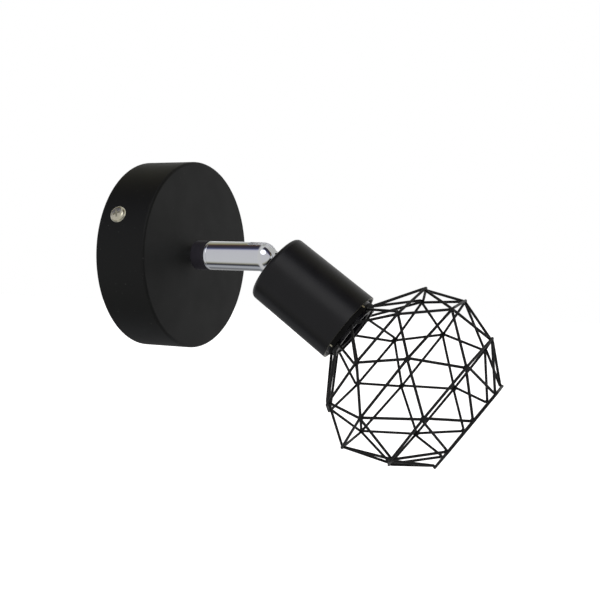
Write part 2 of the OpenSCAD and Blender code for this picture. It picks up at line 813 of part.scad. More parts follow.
// Points and directions round one bend
function bend(corner, a, b, r, steps) =
    let (
        h = half_bend(a, b),
        start = corner - a * r * tan(h),
        centre = corner + unit(b - a) * r / cos(h),
        spoke = unit(start - centre)
    )
    [
        for (k = [0:steps])
            let (t = 2 * h * k / steps)
                [centre + r * (cos(t) * spoke + sin(t) * a), cos(t) * a - sin(t) * spoke]
    ];

function closed_path(p, r, steps) = [
    for (i = [0:len(p) - 1]) each bend(p[i], way_in(p, i), way_out(p, i), r, steps)
];
function open_path(p, r, steps) = concat(
    [[p[0], way_out(p, 0)]],
    [for (i = [1:len(p) - 2]) each bend(p[i], way_in(p, i), way_out(p, i), r, steps)],
    [[p[len(p) - 1], way_in(p, len(p) - 1)]]
);

// One unbroken wire through the corners, rounded at each of them
module bent_wire(corners, r, bend_r, steps, closed, across) {
    path = closed ? closed_path(corners, bend_r, steps) : open_path(corners, bend_r, steps);
    n = len(path);
    last = closed ? n - 1 : n - 2;
    points = [
        for (station = path, j = [0:wire_sides - 1])
            let (
                side = unit(cross(station[1], across)),
                up = cross(side, station[1]),
                a = 360 * (j + 0.5) / wire_sides
            )
            station[0] + r * (cos(a) * side + sin(a) * up)
    ];
    walls = [
        for (i = [0:last], j = [0:wire_sides - 1])
            let (
                here = i * wire_sides,
                next = ((i + 1) % n) * wire_sides,
                k = (j + 1) % wire_sides
            )
            each [[here + j, here + k, next + k], [here + j, next + k, next + j]]
    ];
    ends = closed ? [] : [
        [for (j = [wire_sides - 1:-1:0]) j],
        [for (j = [0:wire_sides - 1]) (n - 1) * wire_sides + j]
    ];
    polyhedron(points = points, faces = concat(walls, ends), convexity = 10);
}

// Radius at which a ring's rounded corner really lies
function corner_r(r) = r - ring_bend_r * (1 / cos(corner_step / 2) - 1);

module cage_ring(r, z, half_turned) {
    phase = cage_turn + half_turned * corner_step / 2;
    color(wire_black) head_frame()
        bent_wire(
            [for (i = [0:cage_corners - 1]) polar(r, phase + i * corner_step, z)],
            wire_r, ring_bend_r, ring_bend_steps, true, [0, 0, 1]
        );
}

// Zigzag wire between touch points on two levels
module zigzag(r_a, z_a, r_b, z_b, turned) {
    phase = cage_turn + turned * corner_step / 2;
    touch = [
        for (i = [0:cage_corners - 1])
            each [
                polar(r_a, phase + i * corner_step, z_a),
                polar(r_b, phase + (i + 0.5) * corner_step, z_b)
            ]
    ];
    color(wire_black) head_frame()
        bent_wire(corners_for(touch, zigzag_bend_r), wire_r, zigzag_bend_r, zigzag_bend_steps, true, [0, 0, 1]);
}

// Where a zigzag's bend rests on a ring's inner side
function seat_r(r, angle) = corner_r(r) - wire_seat * cos(angle);
seat_z = wire_seat * sin(node_seat_angle);
mouth_seat_z = wire_seat * sin(mouth_seat_angle);

module cage_spokes() {
    zigzag(foot_r, foot_z, seat_r(neck_ring_r, node_seat_angle), neck_z - seat_z, 0);
}

module cage_neck_ring() {
    cage_ring(neck_ring_r, neck_z, 1);
}

module cage_upper_zigzag() {
    zigzag(
        seat_r(neck_ring_r, node_seat_angle), neck_z + seat_z,
        seat_r(widest_ring_r, node_seat_angle), widest_z - seat_z, 1
    );
}

module cage_widest_ring() {
    cage_ring(widest_ring_r, widest_z, 0);
}

module cage_middle_zigzag() {
    zigzag(
        seat_r(widest_ring_r, node_seat_angle), widest_z + seat_z,
        seat_r(lower_ring_r, node_seat_angle), lower_z - seat_z, 0
    );
}

module cage_lower_ring() {
    cage_ring(lower_ring_r, lower_z, 1);
}

module cage_lower_zigzag() {
    zigzag(
        seat_r(lower_ring_r, node_seat_angle), lower_z + seat_z,
        seat_r(mouth_ring_r, mouth_seat_angle), mouth_z - mouth_seat_z, 1
    );
}

module cage_mouth_ring() {
    cage_ring(mouth_ring_r, mouth_z, 0);
}

canopy_cover();
wall_bracket();
canopy_screws();
terminal_block();
terminal_sleeves();
terminal_screws();
block_screw();
earth_screw();
earth_washer();
arm_collar();
canopy_leads();
arm_tube();
arm_stem();
arm_bush();
arm_nut();
arm_lock_washer();
arm_friction_washer();
pivot_screw();
arm_leads();
knuckle_tongue();
lamp_cup();
cup_washer();
cup_nut();
lampholder_cap();
lampholder_body();
lampholder_shell();
centre_contact();
lampholder_terminals();
head_leads();
cage_collar();
ring_nut();
cage_spokes();
cage_neck_ring();
cage_upper_zigzag();
cage_widest_ring();
cage_middle_zigzag();
cage_lower_ring();
cage_lower_zigzag();
cage_mouth_ring();
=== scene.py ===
"""Mesh wall spotlight: a black wall canopy, a chrome swivel arm and a satin black
lamp cup with a bent-wire cage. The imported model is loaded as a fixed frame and
its parts are dressed in place: new turned, cut and bent pieces stand over the
nodes that show, and every other node gets its real finish."""

import json
from math import atan2, cos, degrees, pi, radians, sin, tan

import bmesh
import bpy
from bpy.props import FloatProperty, FloatVectorProperty, IntProperty, PointerProperty
from mathutils import Matrix, Vector

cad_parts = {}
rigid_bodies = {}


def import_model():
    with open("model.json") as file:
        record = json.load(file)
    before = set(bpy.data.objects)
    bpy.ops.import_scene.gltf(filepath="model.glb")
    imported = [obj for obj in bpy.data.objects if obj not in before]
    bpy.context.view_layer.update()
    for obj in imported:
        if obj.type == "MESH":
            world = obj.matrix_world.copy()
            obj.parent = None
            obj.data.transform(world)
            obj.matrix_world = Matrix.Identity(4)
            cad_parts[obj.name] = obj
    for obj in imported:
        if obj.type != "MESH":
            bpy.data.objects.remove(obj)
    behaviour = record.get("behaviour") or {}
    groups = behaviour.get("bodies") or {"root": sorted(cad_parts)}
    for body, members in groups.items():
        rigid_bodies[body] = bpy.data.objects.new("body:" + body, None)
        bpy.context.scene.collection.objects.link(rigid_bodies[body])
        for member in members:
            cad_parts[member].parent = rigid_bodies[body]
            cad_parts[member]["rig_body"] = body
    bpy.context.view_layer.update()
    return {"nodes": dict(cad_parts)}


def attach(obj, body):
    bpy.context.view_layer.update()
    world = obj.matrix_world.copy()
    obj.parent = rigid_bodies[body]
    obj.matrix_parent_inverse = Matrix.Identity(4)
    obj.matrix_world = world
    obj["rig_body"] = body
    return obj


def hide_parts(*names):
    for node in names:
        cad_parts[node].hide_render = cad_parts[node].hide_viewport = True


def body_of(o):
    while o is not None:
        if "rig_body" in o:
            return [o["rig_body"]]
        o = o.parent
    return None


bl_info = {
    "name": "Mesh wall spotlight",
    "version": (1, 0, 0),
    "blender": (4, 5, 0),
    "location": "View3D > Sidebar > Spotlight",
    "description": "Dresses the packed wall spotlight in its finished shapes and surfaces",
    "category": "Object",
}

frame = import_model()

MM = 0.001

# Places that every piece of the lamp shares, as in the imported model
ARM_TURN = radians(14)
HEAD_TILT = radians(39)
PIVOT = Vector((0, -70 * MM, 0))
OFF_WALL = Matrix.Rotation(radians(90), 4, "X")
TURNED_ARM = Matrix.Rotation(-ARM_TURN, 4, "Y")
PLACES = {
    "mount": OFF_WALL,
    "arm": TURNED_ARM @ OFF_WALL,
    "head": Matrix.Translation(PIVOT) @ TURNED_ARM @ Matrix.Rotation(HEAD_TILT, 4, "X") @ OFF_WALL,
}


def linear(hex_colour):
    """An sRGB hex colour as the linear RGBA that shaders take."""
    channels = [int(hex_colour[i:i + 2], 16) / 255 for i in (1, 3, 5)]
    return tuple(
        c / 12.92 if c <= 0.04045 else ((c + 0.055) / 1.055) ** 2.4 for c in channels
    ) + (1.0,)


def size(name, description, mm):
    """A length in the panel, given in millimetres."""
    return FloatProperty(
        name=name, description=description, default=mm * MM, min=0.0,
        subtype="DISTANCE", unit="LENGTH", precision=5,
    )


def rotation(name, description, turn):
    return FloatProperty(
        name=name, description=description, default=radians(turn), subtype="ANGLE", unit="ROTATION",
    )


def colour(name, description, hex_colour):
    return FloatVectorProperty(
        name=name, description=description, default=linear(hex_colour), size=4,
        min=0.0, max=1.0, subtype="COLOR",
    )


class CanopySizes(bpy.types.PropertyGroup):
    """Sizes of the wall canopy and its side screws"""

    diameter: size("Canopy diameter", "Outside diameter of the canopy", 100)
    depth: size("Canopy depth", "How far the canopy stands off the wall", 29.5)
    sheet: size("Sheet thickness", "Thickness of the drawn steel sheet", 1.2)
    edge_radius: size("Front edge radius", "Radius that the sheet is drawn over at the front", 1.5)
    hole_diameter: size("Centre hole", "Diameter of the hole that the collar plugs into", 13)
    screw_height: size("Side screw height", "Height of the side screws off the wall", 11)
    screw_head: size("Side screw head", "Diameter of the pan heads", 8.6)
    screw_angle: rotation(
        "Side screw angle", "Direction of the first side screw round the canopy", 154,
    )


class ArmSizes(bpy.types.PropertyGroup):
    """Sizes of the collar, the chrome arm and its knuckle"""

    collar_diameter: size("Collar diameter", "Outside diameter of the plastic collar", 15.7)
    collar_length: size("Collar length", "How far the collar stands out of the canopy", 7.6)
    diameter: size("Arm diameter", "Outside diameter of the chrome tube", 15.2)
    start: size("Arm start", "Distance of the tube's end from the wall", 37.2)
    slot: size("Fork slot", "Width of the slot in the domed end", 5.4)
    slot_back: size("Slot depth", "How far the slot reaches behind the pivot", 7)


class HeadSizes(bpy.types.PropertyGroup):
    """Sizes of the lamp cup and the lampholder in it"""

    back_diameter: size("Cup back diameter", "Outside diameter of the cup at its back", 38.2)
    mouth_diameter: size("Cup mouth diameter", "Outside diameter of the cup at its mouth", 39.4)
    back: size("Cup back", "Distance from the pivot to the cup's back", 8.1)
    length: size("Cup length", "Length of the cup along its axis", 50.5)
    wall: size("Cup wall", "Thickness of the cup's side", 1)
    edge_radius: size("Cup edge radius", "Radius of the cup's back edge", 2.8)
    skirt_diameter: size("Skirt diameter", "Outside diameter of the holder's skirt", 28)
    shell_diameter: size("Shell diameter", "Inside diameter of the screw shell", 14.1)


class CageSizes(bpy.types.PropertyGroup):
    """Sizes of the bent-wire cage"""

    wire: size("Wire diameter", "Diameter of the cage wire", 1.3)
    coat: size("Paint coat", "Thickness of the dipped paint on the wire", 0.05)
    corners: IntProperty(
        name="Corners", description="Corners on each wire ring", default=8, min=6, max=10,
    )
    neck_radius: size("Neck ring", "Corner radius of the ring next to the cup", 41.6)
    widest_radius: size("Widest ring", "Corner radius of the widest ring", 49.5)
    lower_radius: size("Lower ring", "Corner radius of the ring below the widest one", 42.9)
    mouth_radius: size("Mouth ring", "Corner radius of the ring at the open end", 27.1)
    neck_height: size("Neck ring place", "Distance of the neck ring from the pivot", 77.2)
    widest_height: size("Widest ring place", "Distance of the widest ring from the pivot", 95.4)
    lower_height: size("Lower ring place", "Distance of the lower ring from the pivot", 118.4)
    mouth_height: size("Mouth ring place", "Distance of the mouth ring from the pivot", 137)
    turn: rotation("Cage turn", "Turn of the cage about its own axis", 5.9)


class Finishes(bpy.types.PropertyGroup):
    """Colours of the lamp's finishes"""

    canopy_paint: colour("Canopy paint", "Matt black of the canopy", "#0d0e0d")
    cup_paint: colour("Cup paint", "Satin black of the lamp cup", "#151517")
    wire_paint: colour("Wire paint", "Black of the cage wires", "#121212")
    chrome: colour("Chrome", "Bright chrome plate of the arm", "#d5d7da")
    # Near black: the plate's dull primer, darkened further as painted shade for the groove between the
    # cup's rim and the arc walls
    collar_paint: colour("Cage collar paint", "Dull black of the plate that carries the cage", "#050505")
    nickel: colour("Nickel", "Nickel-plated screws", "#c8c4b0")
    zinc: colour("Zinc", "Zinc-plated strap, nuts and washers", "#b4b8ba")
    brass: colour("Brass", "Brass shell, contact and sleeves", "#b79a4e")
    black_plastic: colour("Black plastic", "Collar, lampholder and ring nut", "#131217")
    collar_plastic: colour("Collar plastic", "Blue-black collar between canopy and arm", "#323036")
    white_plastic: colour("White plastic", "Terminal block", "#e8e6de")
    nylon: colour("Nylon", "Friction washer", "#ded8c6")
    live_lead: colour("Live lead", "Brown sheath", "#4d2b17")
    neutral_lead: colour("Neutral lead", "Blue sheath", "#1f4470")
    floor: colour("Floor", "Plain pale floor", "#f6f6f6")


# Surfaces

# Where a mix node in colour mode keeps its two colours and gives its result
MIX_FIRST, MIX_SECOND, MIX_RESULT = 6, 7, 2


def add(tree, kind, inputs=None, **settings):
    """Adds a node; an input given as a socket is linked, and any other value is set."""
    node = tree.nodes.new(kind)
    for name, value in settings.items():
        setattr(node, name, value)
    for name, value in (inputs or {}).items():
        if isinstance(value, bpy.types.NodeSocket):
            tree.links.new(value, node.inputs[name])
        else:
            node.inputs[name].default_value = value
    return node


def calculated(tree, operation, first, second):
    return add(tree, "ShaderNodeMath", {0: first, 1: second}, operation=operation).outputs["Value"]


def ranged(tree, value, start, end, low=0.0, high=1.0, curve="LINEAR"):
    """A value between start and end, moved to between low and high."""
    return add(tree, "ShaderNodeMapRange", {
        "Value": value, "From Min": start, "From Max": end, "To Min": low, "To Max": high,
    }, interpolation_type=curve).outputs["Result"]


def grain(tree, place, mm, detail=2.0, roughness=0.5):
    """Noise whose patches are about this many millimetres across."""
    return add(tree, "ShaderNodeTexNoise", {
        "Vector": place, "Scale": 1 / (mm * MM), "Detail": detail, "Roughness": roughness,
    }).outputs["Fac"]


def spread(tree, noise, low, high):
    """Noise stretched from its usual middle range to low..high."""
    return ranged(tree, noise, 0.3, 0.7, low, high)


def relief(tree, noise, strength, mm):
    """Fine bumps of this many millimetres."""
    return add(tree, "ShaderNodeBump", {
        "Height": noise, "Strength": strength, "Distance": mm * MM,
    }).outputs["Normal"]


def mixed(tree, factor, first, second):
    """A colour between two others."""
    return add(tree, "ShaderNodeMix", {
        "Factor": factor, MIX_FIRST: first, MIX_SECOND: second,
    }, data_type="RGBA").outputs[MIX_RESULT]


def shaded(base, factor):
    return tuple(min(1.0, c * factor) for c in base[:3]) + (1.0,)


def tinted(tree, noise, base, darker, lighter):
    """The base colour drifting between a darker and a lighter tone."""
    return mixed(tree, spread(tree, noise, 0.0, 1.0), shaded(base, darker), shaded(base, lighter))


def new_surface(name):
    """An empty material with its tree and the place on the piece."""
    surface = bpy.data.materials.new(name)
    surface.use_nodes = True
    surface.node_tree.nodes.clear()
    place = add(surface.node_tree, "ShaderNodeTexCoord").outputs["Object"]
    return surface, surface.node_tree, place


def close_surface(surface, tree, base, settings):
    """Ends the tree in one shader, and sets the plain colour that the viewport shows."""
    shader = add(tree, "ShaderNodeBsdfPrincipled", settings)
    add(tree, "ShaderNodeOutputMaterial", {"Surface": shader.outputs["BSDF"]})
    surface.diffuse_color = base
    return surface


def coat(name, base, settings, patches, tones, sheen, bumps, strength, depth):
    """A finish whose tone and roughness drift over the same patches, with fine bumps on it.
    Patches and bumps are what grain takes, and the depth of the bumps is in millimetres."""
    surface, tree, place = new_surface(name)
    drift = grain(tree, place, *patches)
    return close_surface(surface, tree, base, {
        "Base Color": tinted(tree, drift, base, *tones),
        "Roughness": spread(tree, drift, *sheen),
        "Normal": relief(tree, grain(tree, place, *bumps), strength, depth),
        **settings,
    })


def stoved_black_lacquer(base):
    """Lacquer stoved on drawn steel: nearly matt, with a fine orange peel, a
    slightly uneven sheen that shows only at a low angle, and a little pale dust."""
    surface, tree, place = new_surface("stoved_black_lacquer")
    film = grain(tree, place, 14)
    dust = ranged(tree, grain(tree, place, 0.8, 1.0), 0.75, 0.81)
    return close_surface(surface, tree, base, {
        "Base Color": mixed(tree, dust, tinted(tree, film, base, 0.92, 1.08), linear("#4a4b49")),
        "Roughness": spread(tree, film, 0.5, 0.56),
        "IOR": 1.27,
        "Normal": relief(tree, grain(tree, place, 0.9, 3.0), 0.12, 0.05),
    })


def satin_black_enamel(base):
    """Satin enamel on the cup: smoother than the canopy, so that it takes soft
    light bands, with a faint sprayed texture."""
    return coat("satin_black_enamel", base, {"IOR": 1.3}, patches=(9,), tones=(0.93, 1.07),
                sheen=(0.33, 0.38), bumps=(0.6, 3.0), strength=0.1, depth=0.04)


def dipped_black_wire(base):
    """Steel wire coated black after welding: a dull gloss with small runs and
    thin spots along the wire."""
    return coat("dipped_black_wire", base, {"IOR": 1.3}, patches=(1.6, 3.0), tones=(0.85, 1.15),
                sheen=(0.42, 0.55), bumps=(0.35,), strength=0.15, depth=0.03)


def baked_black_primer(base):
    """Thin dull primer on the pressed plate: almost no shine, slightly mottled."""
    return coat("baked_black_primer", base, {"IOR": 1.2}, patches=(1.2, 3.0), tones=(0.8, 1.2),
                sheen=(0.55, 0.68), bumps=(1.2, 3.0), strength=0.12, depth=0.03)


def bright_chrome_plate(base):
    """Chrome over polished nickel: a clean mirror with a very faint haze from handling."""
    surface, tree, place = new_surface("bright_chrome_plate")
    haze = grain(tree, place, 6, 3.0)
    return close_surface(surface, tree, base, {
        "Base Color": tinted(tree, haze, base, 0.98, 1.0),
        "Metallic": 1.0,
        "Roughness": spread(tree, haze, 0.08, 0.12),
    })


def plated_steel(name, base, low, high):
    """Zinc or nickel plate on stamped or turned steel: a soft grey shine with
    fine tool lines and small dull patches."""
    surface, tree, place = new_surface(name)
    stretch = add(tree, "ShaderNodeMapping", {"Vector": place, "Scale": (1.0, 0.2, 1.0)})
    lines = grain(tree, stretch.outputs["Vector"], 0.25)
    patches = grain(tree, place, 3, 4.0, 0.6)
    return close_surface(surface, tree, base, {
        "Base Color": tinted(tree, patches, base, 0.88, 1.06),
        "Metallic": 1.0,
        "Roughness": spread(tree, patches, low, high),
        "Normal": relief(tree, lines, 0.15, 0.02),
    })


def rolled_brass(base):
    """Brass sheet, drawn and rolled: warm, a little tarnished in patches."""
    return coat("rolled_brass", base, {"Metallic": 1.0}, patches=(2.5, 4.0, 0.6), tones=(0.8, 1.08),
                sheen=(0.24, 0.38), bumps=(0.3,), strength=0.1, depth=0.02)


def sheared_steel(name, base):
    """Bare steel where the plate was sheared: bright, with fine tear lines."""
    return coat(name, base, {"Metallic": 1.0}, patches=(0.3, 3.0), tones=(0.9, 1.1),
                sheen=(0.3, 0.4), bumps=(0.3, 3.0), strength=0.2, depth=0.02)


def moulded_black_plastic(name, base, roughness, ior):
    """Heat-resistant black plastic from a polished mould: a low gloss with a
    very fine spark-eroded grain."""
    return coat(name, base, {"IOR": ior}, patches=(7,), tones=(0.9, 1.1),
                sheen=(roughness, roughness + 0.06), bumps=(0.28,), strength=0.16, depth=0.02)


def moulded_pale_plastic(name, base, subsurface):
    """Polyamide from a mould: milky, with light that bleeds a little into it."""
    milky = {
        "IOR": 1.53,
        "Subsurface Weight": subsurface,
        "Subsurface Radius": (1.0, 0.9, 0.8),
        "Subsurface Scale": 0.6 * MM,
    }
    return coat(name, base, milky, patches=(5,), tones=(0.94, 1.02), sheen=(0.4, 0.5),
                bumps=(0.3,), strength=0.12, depth=0.02)


def lead_sheath(live, neutral):
    """Two soft plastic sheaths, brown for live and blue for neutral, which lie
    on either side of the middle of the lamp."""
    surface, tree, place = new_surface("lead_sheath")
    side = add(tree, "ShaderNodeSeparateXYZ", {"Vector": place}).outputs["X"]
    scuff = grain(tree, place, 1.2, 3.0)
    return close_surface(surface, tree, live, {
        "Base Color": mixed(tree, calculated(tree, "GREATER_THAN", side, 0.0), live, neutral),
        "Roughness": spread(tree, scuff, 0.38, 0.48),
        "IOR": 1.53,
        "Normal": relief(tree, scuff, 0.1, 0.03),
    })


def pale_floor(base):
    """Plain matt studio paper."""
    surface, tree, place = new_surface("pale_floor")
    return close_surface(surface, tree, base, {
        "Base Color": tinted(tree, grain(tree, place, 2), base, 0.99, 1.0),
        "Roughness": 0.9,
        "Emission Color": base,
        "Emission Strength": 1.0,
    })


SURFACES = {}


def surface_of(context, slot):
    """The finish of a material slot, made once from the colours in the panel."""
    if slot not in SURFACES:
        paint = context.scene.spotlight_finishes
        chrome, nickel = paint.chrome[:], paint.nickel[:]
        makers = {
            "canopy_paint": (stoved_black_lacquer, paint.canopy_paint[:]),
            "cup_paint": (satin_black_enamel, paint.cup_paint[:]),
            "cage_paint": (dipped_black_wire, paint.wire_paint[:]),
            "collar_paint": (baked_black_primer, paint.collar_paint[:]),
            "chrome": (bright_chrome_plate, chrome),
            # The fork slot's cheeks: a rougher milled plate whose chrome is lightened well past the
            # tube's, painted light against the shade inside the narrow slot
            "milled_slot": (plated_steel, "milled_and_plated_slot", shaded(chrome, 1.6), 0.65, 0.75),
            "nickel": (plated_steel, "nickel_plated_steel", nickel, 0.24, 0.34),
            # The screws' cross recesses: a rougher nickel, darkened as painted shade in the recess
            "dull_recess": (plated_steel, "dull_nickel_recess", shaded(nickel, 0.55), 0.45, 0.6),
            "zinc_plate": (plated_steel, "zinc_plated_steel", paint.zinc[:], 0.32, 0.46),
            "brass": (rolled_brass, paint.brass[:]),
            "black_plastic": (
                moulded_black_plastic, "moulded_black_plastic", paint.black_plastic[:], 0.24, 1.3,
            ),
            "collar_plastic": (
                moulded_black_plastic, "matt_collar_plastic", paint.collar_plastic[:], 0.5, 1.12,
            ),
            "white_plastic": (
                moulded_pale_plastic, "moulded_polyamide", paint.white_plastic[:], 0.15,
            ),
            "nylon": (moulded_pale_plastic, "natural_nylon", paint.nylon[:], 0.3),
            "lead_sheath": (lead_sheath, paint.live_lead[:], paint.neutral_lead[:]),
            "sheared_steel": (sheared_steel, "sheared_steel", nickel),
            # The cup's cut edge: the same sheared steel darkened to under a third, painted shade along the
            # mouth
            "dull_edge": (sheared_steel, "dull_sheared_steel", shaded(nickel, 0.3)),
            "floor": (pale_floor, paint.floor[:]),
        }
        make, *values = makers[slot]
        SURFACES[slot] = make(*values)
    return SURFACES[slot]


# Shapes

ARC_STEPS = 6
LATHE_STEPS = 128
# How close verts lie that are joined after a spin, and after parts are put together
LATHE_MERGE = 0.0005 * MM
JOIN_MERGE = 0.002 * MM
# Edges sharper than this many degrees stay crisp
CREASE = 35
# A direction along which no two elements of a piece lie level
ORDER = Vector((1.0, 1.618, 2.718))


def profile(bm, corners, rounds, closed):
    """Draws a profile of (radius, height) corners and rounds some of them by radius."""
    points = [Vector((r, 0, z)) for r, z in corners]
    verts = [bm.verts.new(p) for p in points]
    ends = verts[1:] + verts[:1] if closed else verts[1:]
    for a, b in zip(verts, ends):
        bm.edges.new((a, b))
    for place, radius in rounds.items():
        before = points[place] - points[place - 1]
        after = points[(place + 1) % len(points)] - points[place]
        bmesh.ops.bevel(
            bm, geom=[verts[place]], offset=radius * tan(before.angle(after) / 2),
            offset_type="OFFSET", segments=ARC_STEPS, profile=0.5, affect="VERTICES", material=-1,
        )


def spun(bm, geom, angle, steps, centre=(0, 0, 0), axis=(0, 0, 1), merge=False, climb=0.0):
    """Spins some of the mesh and gives the last copy. The climb along Z is for each step."""
    return bmesh.ops.spin(
        bm, geom=geom, cent=centre, axis=axis, dvec=(0, 0, climb), angle=angle, steps=steps,
        use_merge=merge, use_duplicate=False,
    )["geom_last"]


def lathe(bm, steps=LATHE_STEPS, angle=2 * pi, merge=True):
    """Spins everything drawn so far round Z."""
    spun(bm, bm.verts[:] + bm.edges[:], angle, steps, merge=merge)
    bmesh.ops.remove_doubles(bm, verts=bm.verts, dist=LATHE_MERGE)


def extruded(bm, edges):
    """Extrudes an open edge, and gives the new verts and edges."""
    geom = bmesh.ops.extrude_edge_only(bm, edges=edges)["geom"]
    return of_kind(bmesh.types.BMVert, geom), of_kind(bmesh.types.BMEdge, geom)


def of_kind(kind, geom):
    return [item for item in geom if isinstance(item, kind)]


def second_finish(bm, chosen):
    """Gives the faces that are chosen by normal and centre the second finish of their piece."""
    for face in bm.faces:
        if chosen(face.normal, face.calc_center_median()):
            face.material_index = 1


def mesh_from(bm, name):
    """Moves a bmesh into a mesh, sorted by place: the order that bmesh gives its results in
    changes from run to run, and cuts and bevels would come out a little different."""
    bm.verts.sort(key=lambda vert: vert.co.dot(ORDER))
    bm.edges.sort(key=lambda edge: sum(vert.co.dot(ORDER) for vert in edge.verts))
    bm.faces.sort(key=lambda face: face.calc_center_median().dot(ORDER))
    mesh = bpy.data.meshes.new(name)
    bm.to_mesh(mesh)
    bm.free()
    return mesh


def poured(part, whole):
    """Moves one bmesh into another."""
    mesh = mesh_from(part, "part")
    whole.from_mesh(mesh)
    bpy.data.meshes.remove(mesh)


def in_scene(context, name, data):
    """A new object in the scene."""
    obj = bpy.data.objects.new(name, data)
    context.scene.collection.objects.link(obj)
    return obj


def turned(corners, rounds=None, closed=True, steps=LATHE_STEPS):
    """The solid that a profile makes when it is turned on a lathe."""
    bm = bmesh.new()
    profile(bm, corners, rounds or {}, closed)
    lathe(bm, steps)
    bmesh.ops.recalc_face_normals(bm, faces=bm.faces)
    return bm


def as_mesh(bm, name, place=Matrix(), crease=CREASE):
    """Turns a bmesh into a smooth mesh whose edges past the crease angle stay crisp."""
    bmesh.ops.recalc_face_normals(bm, faces=bm.faces)
    bmesh.ops.transform(bm, matrix=place, verts=bm.verts)
    for face in bm.faces:
        face.smooth = True
    for edge in bm.edges:
        edge.smooth = len(edge.link_faces) == 2 and edge.calc_face_angle(0) < radians(crease)
    return mesh_from(bm, name)


def piece(context, name, bm, body, slot, nodes=(), finishes=(), crease=CREASE, keep_flat=True):
    """Puts a finished piece in the scene, on its body and over the nodes that it stands for.
    It takes the finish of its slot unless other finishes are given."""
    obj = in_scene(context, name, as_mesh(bm, name, PLACES[body], crease))
    for finish in finishes or (slot,):
        obj.data.materials.append(surface_of(context, finish))
    if keep_flat:
        flat = obj.modifiers.new("even_flats", "WEIGHTED_NORMAL")
        flat.keep_sharp = True
    if nodes:
        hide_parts(*nodes)
    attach(obj, body)
    return obj


def cut_away(context, bm, cutters):
    """The solid less the cutters, each a bmesh."""
    for shape in [bm] + cutters:
        bmesh.ops.recalc_face_normals(shape, faces=shape.faces)
    solid, *tools = [in_scene(context, "solid", mesh_from(s, "solid")) for s in [bm] + cutters]
    for tool in tools:
        cut = solid.modifiers.new("cut", "BOOLEAN")
        cut.operation = "DIFFERENCE"
        cut.solver = "EXACT"
        cut.object = tool
    context.view_layer.update()
    shape = bmesh.new()
    shape.from_object(solid, context.evaluated_depsgraph_get())
    for obj in [solid] + tools:
        mesh = obj.data
        bpy.data.objects.remove(obj)
        bpy.data.meshes.remove(mesh)
    return shape


def facing(x, y, z):
    """The turn that puts a shape's axes along these three."""
    return Matrix((x, y, z)).transposed().to_4x4()


def box_shape(width, depth, low, high):
    """A block centred on Z between two heights."""
    bm = bmesh.new()
    bmesh.ops.create_cube(bm, size=1)
    bmesh.ops.scale(bm, vec=(width, depth, high - low), verts=bm.verts)
    bmesh.ops.translate(bm, vec=(0, 0, (high + low) / 2), verts=bm.verts)
    return bm


def rod_shape(radius, low, high, steps=64):
    return turned([(0, low), (radius, low), (radius, high), (0, high)], closed=False, steps=steps)


def bent_wire(bm, corners, wire_radius, bend_radius, bend_steps, sides=12):
    """One closed wire: a round section drawn along each straight and spun round each bend."""
    count = len(corners)
    ways = [(corners[(i + 1) % count] - corners[i]).normalized() for i in range(count)]
    start = (corners[-1] + corners[0]) / 2
    across = ways[-1].to_track_quat("Z", "Y").to_matrix().to_4x4()
    section = bmesh.ops.create_circle(
        bm, segments=sides, radius=wire_radius, matrix=Matrix.Translation(start) @ across,
    )["verts"]
    first = list({edge for vert in section for edge in vert.link_edges})
    loop, here = first, start
    for i, corner in enumerate(corners):
        before, after = ways[i - 1], ways[i]
        half = before.angle(after) / 2
        bend_start = corner - before * bend_radius * tan(half)
        verts, loop = extruded(bm, loop)
        bmesh.ops.translate(bm, vec=bend_start - here, verts=verts)
        axis = before.cross(after).normalized()
        centre = bend_start + axis.cross(before) * bend_radius
        last = spun(bm, verts + loop, 2 * half, bend_steps, centre, axis)
        loop = of_kind(bmesh.types.BMEdge, last)
        here = corner + after * bend_radius * tan(half)
    bmesh.ops.bridge_loops(bm, edges=first + loop)


def polar(radius, angle, height):
    return Vector((radius * cos(angle), radius * sin(angle), height))


def pushed_out(touch, bend_radius, rounds=12):
    """Corners whose rounded bends pass through the touch points."""
    corners = list(touch)
    count = len(corners)
    for _ in range(rounds):
        moved = []
        for i, point in enumerate(touch):
            before = (corners[i] - corners[i - 1]).normalized()
            after = (corners[(i + 1) % count] - corners[i]).normalized()
            reach = bend_radius * (1 / cos(before.angle(after) / 2) - 1)
            moved.append(point + (before - after).normalized() * reach)
        corners = moved
    return corners


